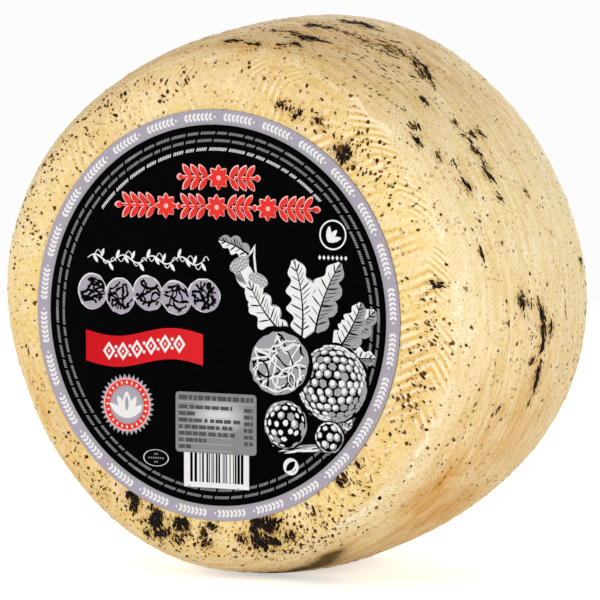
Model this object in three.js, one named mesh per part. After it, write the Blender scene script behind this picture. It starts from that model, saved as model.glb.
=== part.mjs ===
// A whole wheel of hard sheep's milk cheese with truffle. It stands on its rim, with its
// labelled face to the front. Millimetres and degrees, +Z up, the wheel's axis along Y.
import * as THREE from 'three';

// The pressed wheel
const WHEEL_RADIUS = 95; // half way along its barrel side
const WHEEL_THICKNESS = 116; // front face to back face
const FRONT_CORNER = 18; // radius between the front face and the side
const BACK_CORNER = 22;
const SIDE_BULGE = 3.9; // how far the middle of the side stands outside its ends

// What pressing by hand and turning on a shelf made uneven
const LOBES = 4;
const LOBE_HEIGHT = 1.2;
const LOBE_ANGLE = -13.9; // of one of the lobes, from +X towards +Z
const BACK_RISE = 1.7; // how much higher than the front the back was pressed
const HUMP_HEIGHT = 2.6; // the swelling at the top, behind the middle
const HUMP_ANGLE = 78.6;
const HUMP_HALF_ANGLE = 28.6;
const HUMP_DEPTH = 0.7; // its place, as a share of the thickness from the front
const HUMP_HALF_DEPTH = 0.2;
const FLAT_SPOT_DEPTH = 1.2; // how far the rim settled where it stands

// The mark of the plaited belt that holds the curd in its mould
const STRANDS = 68; // round the wheel
const BELT_BANDS = 6; // rows of strands, each leaning the other way
const STRAND_LEAN = 45; // between a strand and the wheel's axis
const STRAND_RELIEF = 0.56; // ridge to groove

// The round paper label and the small sticker on it
const LABEL_RADIUS = 69.5;
const LABEL_OFF_AXIS = { x: -1.8, z: -2.5 };
const PAPER = 0.2;
const GLUE_GAP = 0.1;
const STICKER_WIDTH = 31;
const STICKER_HEIGHT = 20.5;
const STICKER_CORNER = 1.3;
const STICKER_FROM_LABEL = { x: 0.4, z: -36.4 };

// How finely the shapes are cut into flat faces
const FACE_RINGS = 2;
const CORNER_STEPS = 5;
const ROWS_PER_BAND = 2;
const LABEL_SIDES = 120;
const STICKER_CORNER_STEPS = 6;

const FRONT = -WHEEL_THICKNESS / 2;
const BACK = WHEEL_THICKNESS / 2;
const LEAST_RADIUS = 0.001;

// The side is one shallow arc. Each corner is an arc that runs on from it without a kink.
function sideArc() {
  const middle = (FRONT_CORNER - BACK_CORNER) / 2;
  const half = (WHEEL_THICKNESS - FRONT_CORNER - BACK_CORNER) / 2;
  const radius = (half ** 2 + SIDE_BULGE ** 2) / (2 * SIDE_BULGE);
  return { middle, half, radius, centre: WHEEL_RADIUS - radius };
}

function cornerArc(side, corner) {
  const reach = Math.sqrt((side.radius - corner) ** 2 - side.half ** 2);
  return { radius: corner, centre: side.centre + reach, meet: Math.atan2(side.half, reach) };
}

const side = sideArc();
const front = cornerArc(side, FRONT_CORNER);
const back = cornerArc(side, BACK_CORNER);
const SIDE_START = side.middle - side.radius * Math.sin(front.meet);
const SIDE_END = side.middle + side.radius * Math.sin(back.meet);

function sideRadius(y) {
  return side.centre + Math.sqrt(side.radius ** 2 - (y - side.middle) ** 2);
}

// The outline from the middle of the front face, round the side, to the middle of the back
function wheelProfile() {
  const points = [new THREE.Vector2(0, FRONT)];
  for (let i = 1; i <= FACE_RINGS; i++) {
    points.push(new THREE.Vector2((front.centre * i) / FACE_RINGS, FRONT));
  }
  for (let i = 1; i < CORNER_STEPS; i++) {
    const turn = ((Math.PI / 2 - front.meet) * i) / CORNER_STEPS;
    const out = front.radius * Math.sin(turn);
    points.push(new THREE.Vector2(front.centre + out, FRONT + front.radius * (1 - Math.cos(turn))));
  }
  const rows = BELT_BANDS * ROWS_PER_BAND;
  for (let i = 0; i <= rows; i++) {
    const y = THREE.MathUtils.lerp(SIDE_START, SIDE_END, i / rows);
    points.push(new THREE.Vector2(sideRadius(y), y));
  }
  for (let i = CORNER_STEPS - 1; i > 0; i--) {
    const turn = ((Math.PI / 2 - back.meet) * i) / CORNER_STEPS;
    const out = back.radius * Math.sin(turn);
    points.push(new THREE.Vector2(back.centre + out, BACK - back.radius * (1 - Math.cos(turn))));
  }
  for (let i = FACE_RINGS; i > 0; i--) {
    points.push(new THREE.Vector2((back.centre * i) / FACE_RINGS, BACK));
  }
  points.push(new THREE.Vector2(0, BACK));
  return points;
}

// 1 at the side's start and 0 one band on, then 1 again, and so on
function zigzag(y) {
  const bands = (BELT_BANDS * (y - SIDE_START)) / (SIDE_END - SIDE_START);
  const within = THREE.MathUtils.clamp(bands, 0, BELT_BANDS);
  return Math.abs((within % 2) - 1);
}

// How far round the wheel a strand has gone where it crosses this depth, in radians
function strandTurn(y) {
  const bandWidth = (SIDE_END - SIDE_START) / BELT_BANDS;
  const lean = Math.tan(THREE.MathUtils.degToRad(STRAND_LEAN));
  return (zigzag(y) * bandWidth * lean) / WHEEL_RADIUS;
}

// The belt's mark fades where the side turns into a corner
function beltShare(y) {
  const bandWidth = (SIDE_END - SIDE_START) / BELT_BANDS;
  const fromFront = THREE.MathUtils.smoothstep(y, SIDE_START - bandWidth / 2, SIDE_START + bandWidth / 2);
  const fromBack = THREE.MathUtils.smoothstep(-y, -SIDE_END - bandWidth / 2, -SIDE_END + bandWidth / 2);
  return fromFront * fromBack;
}

function lobe(angle) {
  return LOBE_HEIGHT * Math.cos(LOBES * (angle - THREE.MathUtils.degToRad(LOBE_ANGLE)));
}

function hump(angle, depth) {
  const away = angle - THREE.MathUtils.degToRad(HUMP_ANGLE);
  const turn = Math.atan2(Math.sin(away), Math.cos(away));
  const across = turn / THREE.MathUtils.degToRad(HUMP_HALF_ANGLE);
  const along = (depth - HUMP_DEPTH) / HUMP_HALF_DEPTH;
  return HUMP_HEIGHT * Math.exp(-(across ** 2) - along ** 2);
}

// The hump is the side's alone, so the flat faces stay flat
function sideShare(radius) {
  return THREE.MathUtils.clamp((radius - 60) / 20, 0, 1);
}

function wheelGeometry() {
  const geometry = new THREE.LatheGeometry(wheelProfile(), STRANDS * 2);
  const position = geometry.getAttribute('position');
  let lowest = Infinity;
  for (let i = 0; i < position.count; i++) {
    const y = position.getY(i);
    const radius = Math.hypot(position.getX(i), position.getZ(i));
    const depth = y / WHEEL_THICKNESS + 0.5;
    let x = 0;
    let z = 0;
    if (radius > LEAST_RADIUS) {
      const start = Math.atan2(position.getZ(i), position.getX(i));
      const angle = start + strandTurn(y);
      const strand = (STRAND_RELIEF / 2) * Math.cos(STRANDS * start) * beltShare(y);
      const swell = hump(angle, depth) * sideShare(radius);
      const reach = radius + (lobe(angle) * radius) / WHEEL_RADIUS + swell + strand;
      x = reach * Math.cos(angle);
      z = reach * Math.sin(angle);
    }
    z += BACK_RISE * depth;
    position.setXYZ(i, x, y, z);
    lowest = Math.min(lowest, z);
  }
  // The rim is flat where it stands
  const floor = lowest + FLAT_SPOT_DEPTH;
  for (let i = 0; i < position.count; i++) {
    position.setZ(i, Math.max(position.getZ(i), floor));
  }
  geometry.computeVertexNormals();
  return geometry;
}

function labelGeometry() {
  return new THREE.CylinderGeometry(LABEL_RADIUS, LABEL_RADIUS, PAPER, LABEL_SIDES);
}

function stickerGeometry() {
  const w = STICKER_WIDTH / 2;
  const h = STICKER_HEIGHT / 2;
  const c = STICKER_CORNER;
  const outline = new THREE.Shape();
  outline.absarc(w - c, h - c, c, 0, Math.PI / 2);
  outline.absarc(c - w, h - c, c, Math.PI / 2, Math.PI);
  outline.absarc(c - w, c - h, c, Math.PI, (3 * Math.PI) / 2);
  outline.absarc(w - c, c - h, c, (3 * Math.PI) / 2, 2 * Math.PI);
  outline.closePath();
  const settings = { depth: PAPER, bevelEnabled: false, curveSegments: STICKER_CORNER_STEPS };
  const geometry = new THREE.ExtrudeGeometry(outline, settings);
  geometry.translate(0, 0, -PAPER / 2);
  geometry.rotateX(Math.PI / 2);
  return geometry;
}

function namedMesh(name, geometry, color, roughness) {
  const material = new THREE.MeshStandardMaterial({ color, roughness, metalness: 0 });
  const mesh = new THREE.Mesh(geometry, material);
  mesh.name = name;
  return mesh;
}

const wheel = namedMesh('cheese_wheel', wheelGeometry(), 0xeed8a2, 0.6);

const label = namedMesh('face_label', labelGeometry(), 0x0a0a0c, 0.4);
const labelDepth = FRONT - GLUE_GAP - PAPER / 2;
label.position.set(LABEL_OFF_AXIS.x, labelDepth, LABEL_OFF_AXIS.z);

const sticker = namedMesh('grey_sticker', stickerGeometry(), 0x848484, 0.35);
sticker.position.set(
  LABEL_OFF_AXIS.x + STICKER_FROM_LABEL.x,
  labelDepth - GLUE_GAP - PAPER,
  LABEL_OFF_AXIS.z + STICKER_FROM_LABEL.z,
);

// The origin is the middle of the part's footprint
const part = new THREE.Group();
part.add(wheel, label, sticker);
const bounds = new THREE.Box3().setFromObject(part, true);
const centre = bounds.getCenter(new THREE.Vector3());
part.position.set(-centre.x, -centre.y, -bounds.min.z);
part.updateMatrixWorld(true);

export default part;
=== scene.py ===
# %% [markdown]
# # A wheel of hard sheep cheese with truffle
# A pressed cheese is one turned shape, so its solid model is simple. What makes it look real
# is the surface: the mark of a plaited belt round the side, the pressed ridges on the face,
# truffle pieces that lie in the rind, and a printed paper label. This notebook starts from the
# solid model, which fixes every size, and gives it that surface.

# %% Load the frame
import itertools
import math
import random

import bmesh
import bpy
from mathutils import Matrix
from mathutils import Vector
from mathutils import kdtree
from mathutils import noise


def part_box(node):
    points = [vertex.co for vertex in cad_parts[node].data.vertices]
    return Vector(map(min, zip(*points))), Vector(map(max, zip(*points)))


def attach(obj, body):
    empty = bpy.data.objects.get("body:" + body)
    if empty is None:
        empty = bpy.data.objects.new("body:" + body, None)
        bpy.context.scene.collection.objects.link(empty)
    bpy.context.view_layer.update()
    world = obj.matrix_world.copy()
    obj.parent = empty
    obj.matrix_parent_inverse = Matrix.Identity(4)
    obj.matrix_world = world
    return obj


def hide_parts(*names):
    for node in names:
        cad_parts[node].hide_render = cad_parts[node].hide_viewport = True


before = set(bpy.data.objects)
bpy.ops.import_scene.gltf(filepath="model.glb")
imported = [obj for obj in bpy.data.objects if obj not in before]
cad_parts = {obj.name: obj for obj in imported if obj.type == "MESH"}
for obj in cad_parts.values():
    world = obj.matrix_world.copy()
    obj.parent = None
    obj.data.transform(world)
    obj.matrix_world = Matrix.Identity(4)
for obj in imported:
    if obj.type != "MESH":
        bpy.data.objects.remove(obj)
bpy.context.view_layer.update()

MM = 0.001
print("nodes in the frame:", sorted(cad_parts))

# %% [markdown]
# ## The wheel's sizes
# These are the real object's sizes, the same ones that the solid model was made from. The label
# lies a known way off the wheel's axis, so the box of the label gives the axis exactly.

# %% The wheel's sizes
WHEEL_RADIUS = 95 * MM
WHEEL_THICKNESS = 116 * MM
FRONT_CORNER = 18 * MM
BACK_CORNER = 22 * MM
SIDE_BULGE = 3.9 * MM
LOBES = 4
LOBE_HEIGHT = 1.2 * MM
LOBE_ANGLE = math.radians(-13.9)
BACK_RISE = 1.7 * MM
HUMP_HEIGHT = 2.6 * MM
HUMP_ANGLE = math.radians(78.6)
HUMP_HALF_ANGLE = math.radians(28.6)
HUMP_DEPTH = 0.7
HUMP_HALF_DEPTH = 0.2
HUMP_FROM = 60 * MM  # it starts this far from the axis
HUMP_FADE = 20 * MM
STRANDS = 68
BELT_BANDS = 6
STRAND_LEAN = math.radians(45)
STRAND_RELIEF = 0.56 * MM
LABEL_RADIUS = 69.5 * MM
LABEL_OFF_AXIS = (-1.8 * MM, -2.5 * MM)
GLUE_GAP = 0.1 * MM

label_low, label_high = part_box("face_label")
label_middle = (label_low + label_high) / 2
AXIS_X = label_middle.x - LABEL_OFF_AXIS[0]
AXIS_Z = label_middle.z - LABEL_OFF_AXIS[1]
MIDDLE_Y = label_high.y + GLUE_GAP + WHEEL_THICKNESS / 2
print(f"the axis is {AXIS_Z / MM:.1f} mm above the table")

# %% [markdown]
# ## The wheel's outline
# The outline runs from the middle of the front face, round the side, to the middle of the back.
# It is three arcs and two flats. A place on it is given by how far along the outline it is, its
# run, so that patterns keep their real size where the surface turns.

# %% The outline as arcs
SIDE_MIDDLE = (FRONT_CORNER - BACK_CORNER) / 2
SIDE_HALF = (WHEEL_THICKNESS - FRONT_CORNER - BACK_CORNER) / 2
SIDE_ARC = (SIDE_HALF**2 + SIDE_BULGE**2) / (2 * SIDE_BULGE)
SIDE_CENTRE = WHEEL_RADIUS - SIDE_ARC
FRONT_REACH = math.sqrt((SIDE_ARC - FRONT_CORNER) ** 2 - SIDE_HALF**2)
BACK_REACH = math.sqrt((SIDE_ARC - BACK_CORNER) ** 2 - SIDE_HALF**2)
FRONT_MEET = math.atan2(SIDE_HALF, FRONT_REACH)
BACK_MEET = math.atan2(SIDE_HALF, BACK_REACH)
FRONT_FLAT = SIDE_CENTRE + FRONT_REACH
BACK_FLAT = SIDE_CENTRE + BACK_REACH
SIDE_START = SIDE_MIDDLE - SIDE_ARC * math.sin(FRONT_MEET)
SIDE_END = SIDE_MIDDLE + SIDE_ARC * math.sin(BACK_MEET)

CORNER_RUN = FRONT_FLAT
SIDE_RUN = CORNER_RUN + FRONT_CORNER * (math.pi / 2 - FRONT_MEET)
BACK_CORNER_RUN = SIDE_RUN + SIDE_ARC * (FRONT_MEET + BACK_MEET)
BACK_RUN = BACK_CORNER_RUN + BACK_CORNER * (math.pi / 2 - BACK_MEET)
END_RUN = BACK_RUN + BACK_FLAT


def outline(run):
    """Radius, place along the axis, and how far the surface has turned from facing front."""
    if run <= CORNER_RUN:
        return run, -WHEEL_THICKNESS / 2, 0.0
    if run <= SIDE_RUN:
        tip = (run - CORNER_RUN) / FRONT_CORNER
        along = -WHEEL_THICKNESS / 2 + FRONT_CORNER * (1 - math.cos(tip))
        return FRONT_FLAT + FRONT_CORNER * math.sin(tip), along, tip
    if run <= BACK_CORNER_RUN:
        tip = (run - SIDE_RUN) / SIDE_ARC - FRONT_MEET
        radius = SIDE_CENTRE + SIDE_ARC * math.cos(tip)
        return radius, SIDE_MIDDLE + SIDE_ARC * math.sin(tip), math.pi / 2 + tip
    if run <= BACK_RUN:
        left = (BACK_RUN - run) / BACK_CORNER
        along = WHEEL_THICKNESS / 2 - BACK_CORNER * (1 - math.cos(left))
        return BACK_FLAT + BACK_CORNER * math.sin(left), along, math.pi - left
    return END_RUN - run, WHEEL_THICKNESS / 2, math.pi


print(f"the outline is {END_RUN / MM:.0f} mm long")

# %% [markdown]
# ## The uneven form
# No pressed wheel is a true circle. This one has four shallow lobes, a swelling at the top and
# a back that was pressed a little higher than the front. Each is one short formula.

# %% The uneven form


def smooth_step(value, low, high):
    """0 below low, 1 above high, and a soft rise between them."""
    share = min(max((value - low) / (high - low), 0.0), 1.0)
    return share * share * (3 - 2 * share)


def turn_between(turn, other):
    """The shortest turn from other to turn, in radians."""
    return math.atan2(math.sin(turn - other), math.cos(turn - other))


def swelling(turn, deep):
    across = turn_between(turn, HUMP_ANGLE) / HUMP_HALF_ANGLE
    along = (deep - HUMP_DEPTH) / HUMP_HALF_DEPTH
    return HUMP_HEIGHT * math.exp(-(across**2) - along**2)


def form(turn, run):
    """The place on the uneven wheel without its relief, and the way that the surface faces."""
    radius, along, tip = outline(run)
    deep = along / WHEEL_THICKNESS + 0.5
    lobe = LOBE_HEIGHT * math.cos(LOBES * (turn - LOBE_ANGLE)) * radius / WHEEL_RADIUS
    on_side = min(max((radius - HUMP_FROM) / HUMP_FADE, 0.0), 1.0)
    reach = radius + lobe + swelling(turn, deep) * on_side
    out = reach * math.cos(turn)
    up = reach * math.sin(turn)
    place = Vector((AXIS_X + out, MIDDLE_Y + along, AXIS_Z + up))
    place.z += BACK_RISE * deep
    tipped = math.sin(tip)
    facing = Vector((tipped * math.cos(turn), -math.cos(tip), tipped * math.sin(turn)))
    return place, facing


print("top of the side:", form(math.pi / 2, (SIDE_RUN + BACK_CORNER_RUN) / 2)[0])

# %% [markdown]
# ## The belt's mark
# The curd is pressed in a belt of plaited grass. Its strands leave low cushions that lean one
# way and then the other, in bands, like a herringbone. A soft wave does for them. The mark is
# deepest at the back and at the top, and partly worn away elsewhere.

# %% The belt's mark
BAND_WIDTH = (SIDE_END - SIDE_START) / BELT_BANDS
WORN_SHARE = 0.4  # what is left of the depth where it is worn most
TOP_SHARE = 0.8  # and on the swelling at the top


def zigzag(along):
    """1 where a band starts, 0 one band on, then 1 again."""
    bands = min(max((along - SIDE_START) / BAND_WIDTH, 0.0), BELT_BANDS)
    return abs(bands % 2 - 1)


def belt_mark(turn, along):
    """Height of the plaited mark, from -1 in a groove to 1 on a strand."""
    slid = zigzag(along) * BAND_WIDTH * math.tan(STRAND_LEAN) / WHEEL_RADIUS
    cushion = math.cos(STRANDS * (turn - slid))
    soft = BAND_WIDTH / 2
    from_front = smooth_step(along, SIDE_START - soft, SIDE_START + soft)
    from_back = smooth_step(-along, -SIDE_END - soft, -SIDE_END + soft)
    at_back = smooth_step(along, 0, SIDE_END)
    at_top = math.exp(-((turn_between(turn, HUMP_ANGLE) / HUMP_HALF_ANGLE) ** 2))
    return cushion * from_front * from_back * max(WORN_SHARE, at_back, TOP_SHARE * at_top)


# %% [markdown]
# ## The face's ridges
# The cloth on the boards of the press leaves fine parallel ridges on both faces, in sectors
# that run different ways. Near the edge they turn back, as at the hem of a plait. Some sectors
# are almost smooth, and each fades out before the next. They end at a faint crease. A ridge's
# phase is its number: it grows by one from each ridge to the next.

# %% The face's ridges
RIDGE_PITCH = 2.9 * MM
BACK_RIDGE_PITCH = 5.2 * MM
RIDGE_RELIEF = 0.14 * MM
FOLD_RUN = 79.5 * MM  # where the ridges turn back
FOLD_SLANT = math.tan(math.radians(50))
CREASE_RUN = 86 * MM
BACK_CREASE = 87 * MM
CREASE_DEPTH = 0.12 * MM
CREASE_WIDTH = 0.9 * MM
CREASE_FADE = 1.5 * MM  # how far from the crease a face fades into the side
SECTOR_FADE = 7  # degrees from its start and its end
RIDGE_BEND = 0.45  # of a ridge, by a noise
BEND_RATE = 70  # noise cells a metre
BREAK_RATE = 120
ELSEWHERE = Vector((7, 0, 0))  # keeps two noises from being alike
RIDGE_SECTORS = [  # where a sector starts and which way its ridges run, in degrees, and strength
    (-180, 160, 0.15),
    (-155, 45, 0.2),
    (-98, 125, 0.45),
    (-32, 24, 1.0),
    (64, 68, 0.7),
    (88, 115, 0.4),
    (152, 160, 0.15),
]


def ridge_sector(turn):
    """The way that the ridges run at this turn, in radians, and how strong they are."""
    degrees = math.degrees(turn_between(turn, 0))
    starts = [sector[0] for sector in RIDGE_SECTORS] + [180]
    index = max(i for i, start in enumerate(starts[:-1]) if degrees >= start)
    inside = min(degrees - starts[index], starts[index + 1] - degrees)
    way, strength = RIDGE_SECTORS[index][1:]
    return math.radians(way), strength * smooth_step(inside, 0, SECTOR_FADE)


def face_share(run):
    """1 on the flat faces out to the crease, 0 on the side."""
    front = 1 - smooth_step(run, CREASE_RUN - CREASE_FADE, CREASE_RUN + CREASE_FADE)
    back = 1 - smooth_step(END_RUN - run, BACK_CREASE - CREASE_FADE, BACK_CREASE + CREASE_FADE)
    return front + back


def ridge_phase(turn, run, place):
    """The number of the ridge at this place. Noise bends the ridges a little."""
    inward = min(run, END_RUN - run)
    slid = turn + max(inward - FOLD_RUN, 0.0) * FOLD_SLANT / FOLD_RUN
    across = min(inward, FOLD_RUN) * math.sin(slid - ridge_sector(turn)[0])
    pitch = RIDGE_PITCH if run < END_RUN / 2 else BACK_RIDGE_PITCH
    return across / pitch + RIDGE_BEND * noise.noise(place * BEND_RATE)


def ridge_strength(turn, run, place):
    """How strong the ridges are here. Noise breaks them up."""
    broken = 0.55 + 1.3 * noise.noise(place * BREAK_RATE + ELSEWHERE)
    return min(max(broken, 0.0), 1.0) * ridge_sector(turn)[1] * face_share(run)


def crease(run):
    """A narrow groove where each face's ridges end."""
    away = min(abs(run - CREASE_RUN), abs(END_RUN - run - BACK_CREASE))
    return math.exp(-((away / CREASE_WIDTH) ** 2))


# %% [markdown]
# ## All of the relief in one place
# The mesh of the rind and every truffle piece ask the same function where the surface is, so
# the pieces always lie in it.

# %% The surface of the rind
SLOW_RELIEF = 0.35 * MM
SLOW_RATE = 38  # noise cells a metre
FINE_RELIEF = 0.05 * MM
FINE_RATE = 420
LABEL_FADE = 1 * MM  # how far from the paper's edge the flat part ends


def from_label(place):
    """How far a place is from the label's middle, seen from the front."""
    return math.hypot(place.x - label_middle.x, place.z - label_middle.z)


def under_label(place):
    """1 where the paper covers the front face, which the press left flat, and 0 away from it."""
    if place.y > MIDDLE_Y:
        return 0.0
    return 1 - smooth_step(from_label(place), LABEL_RADIUS - LABEL_FADE, LABEL_RADIUS + LABEL_FADE)


def relief(turn, run, place):
    """Height of the surface over the plain form."""
    height = belt_mark(turn, outline(run)[1]) * STRAND_RELIEF / 2
    wave = math.sin(2 * math.pi * ridge_phase(turn, run, place))
    height += wave * ridge_strength(turn, run, place) * RIDGE_RELIEF / 2
    height -= crease(run) * CREASE_DEPTH
    slow = noise.noise(place * SLOW_RATE) * SLOW_RELIEF
    height += slow + noise.noise(place * FINE_RATE) * FINE_RELIEF
    return height * (1 - under_label(place))


def on_rind(turn, run, lift=0.0):
    """The place on the finished surface, lifted off it or sunk into it."""
    place, facing = form(turn, run)
    place = place + facing * (relief(turn, run, place) + lift)
    place.z = max(place.z, 0.0)
    return place


# %% [markdown]
# ## Colours and shader nodes
# Colours are written as they look on a screen, in sRGB hex. Blender's shaders count light, so
# one function turns them to linear values. One more adds any node, its settings and its links,
# and a few short ones say what every material here needs: a noise, a ramp, a mix and a bump.

# %% Colours and shader nodes


def colour(hex_code):
    """An sRGB hex colour as linear red, green, blue and alpha."""
    parts = [int(hex_code[i : i + 2], 16) / 255 for i in (1, 3, 5)]
    linear = [c / 12.92 if c <= 0.04045 else ((c + 0.055) / 1.055) ** 2.4 for c in parts]
    return (*linear, 1.0)


def add_node(tree, kind, inputs=None, **settings):
    """Adds one shader node. An input is a plain value, or the output socket that feeds it."""
    node = tree.nodes.new(kind)
    for name, value in settings.items():
        setattr(node, name, value)
    for socket, value in (inputs or {}).items():
        if isinstance(value, bpy.types.NodeSocket):
            tree.links.new(value, node.inputs[socket])
        else:
            node.inputs[socket].default_value = value
    return node


FACTOR, FIRST, SECOND, MIXED = 0, 6, 7, 2  # the colour sockets of a Mix node


def mix(tree, factor, first, second, blend="MIX"):
    """The output of a Mix node that goes from one colour to another."""
    sockets = {FACTOR: factor, FIRST: first, SECOND: second}
    node = add_node(tree, "ShaderNodeMix", sockets, data_type="RGBA", blend_type=blend)
    return node.outputs[MIXED]


def soft_noise(tree, place, size, detail=3.0, rough=0.5):
    """A noise from 0 to 1 whose cells are about this large."""
    sockets = {"Vector": place, "Scale": 1 / size, "Detail": detail, "Roughness": rough}
    return add_node(tree, "ShaderNodeTexNoise", sockets).outputs[0]


def ramp(tree, value, low, high, first=0.0, last=1.0, **settings):
    """Goes from the first to the last value while another goes from low to high."""
    sockets = {"Value": value, "From Min": low, "From Max": high, "To Min": first, "To Max": last}
    return add_node(tree, "ShaderNodeMapRange", sockets, **settings).outputs[0]


def object_place(tree):
    """Where a point lies on its own object."""
    return add_node(tree, "ShaderNodeTexCoord").outputs["Object"]


def add_bump(tree, shader, height, strength, distance):
    """Unevenness that is too fine for the mesh and only bends the light."""
    sockets = {"Strength": strength, "Distance": distance, "Height": height}
    tree.links.new(add_node(tree, "ShaderNodeBump", sockets).outputs[0], shader.inputs["Normal"])


def new_material(name, roughness, specular):
    """A material with a Principled shader, its node tree and that shader."""
    material = bpy.data.materials.new(name)
    material.use_nodes = True
    shader = material.node_tree.nodes["Principled BSDF"]
    shader.inputs["Roughness"].default_value = roughness
    shader.inputs["Specular IOR Level"].default_value = specular
    return material, material.node_tree, shader


def add_object(name, data):
    """Puts new data into the scene as an object of its own."""
    made = bpy.data.objects.new(name, data)
    bpy.context.scene.collection.objects.link(made)
    return made


def finish_piece(bm, name, material, smooth=True):
    """Turns a bmesh into an object of the model that rides on its one body."""
    mesh = bpy.data.meshes.new(name)
    bm.to_mesh(mesh)
    bm.free()
    mesh.polygons.foreach_set("use_smooth", [smooth] * len(mesh.polygons))
    mesh.materials.append(material)
    piece = add_object(name, mesh)
    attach(piece, "root")
    triangles = sum(len(p.vertices) - 2 for p in mesh.polygons)
    print(f"{name}: {triangles} triangles")
    return piece


# %% Join small meshes
scratch = bpy.data.meshes.new("scratch")


def move_into(whole, small):
    """Copies a small mesh into a large one, and frees it. An operator gets slow in a mesh that
    already holds thousands of shapes, so each shape is made in one of its own."""
    small.to_mesh(scratch)
    small.free()
    whole.from_mesh(scratch)
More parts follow.
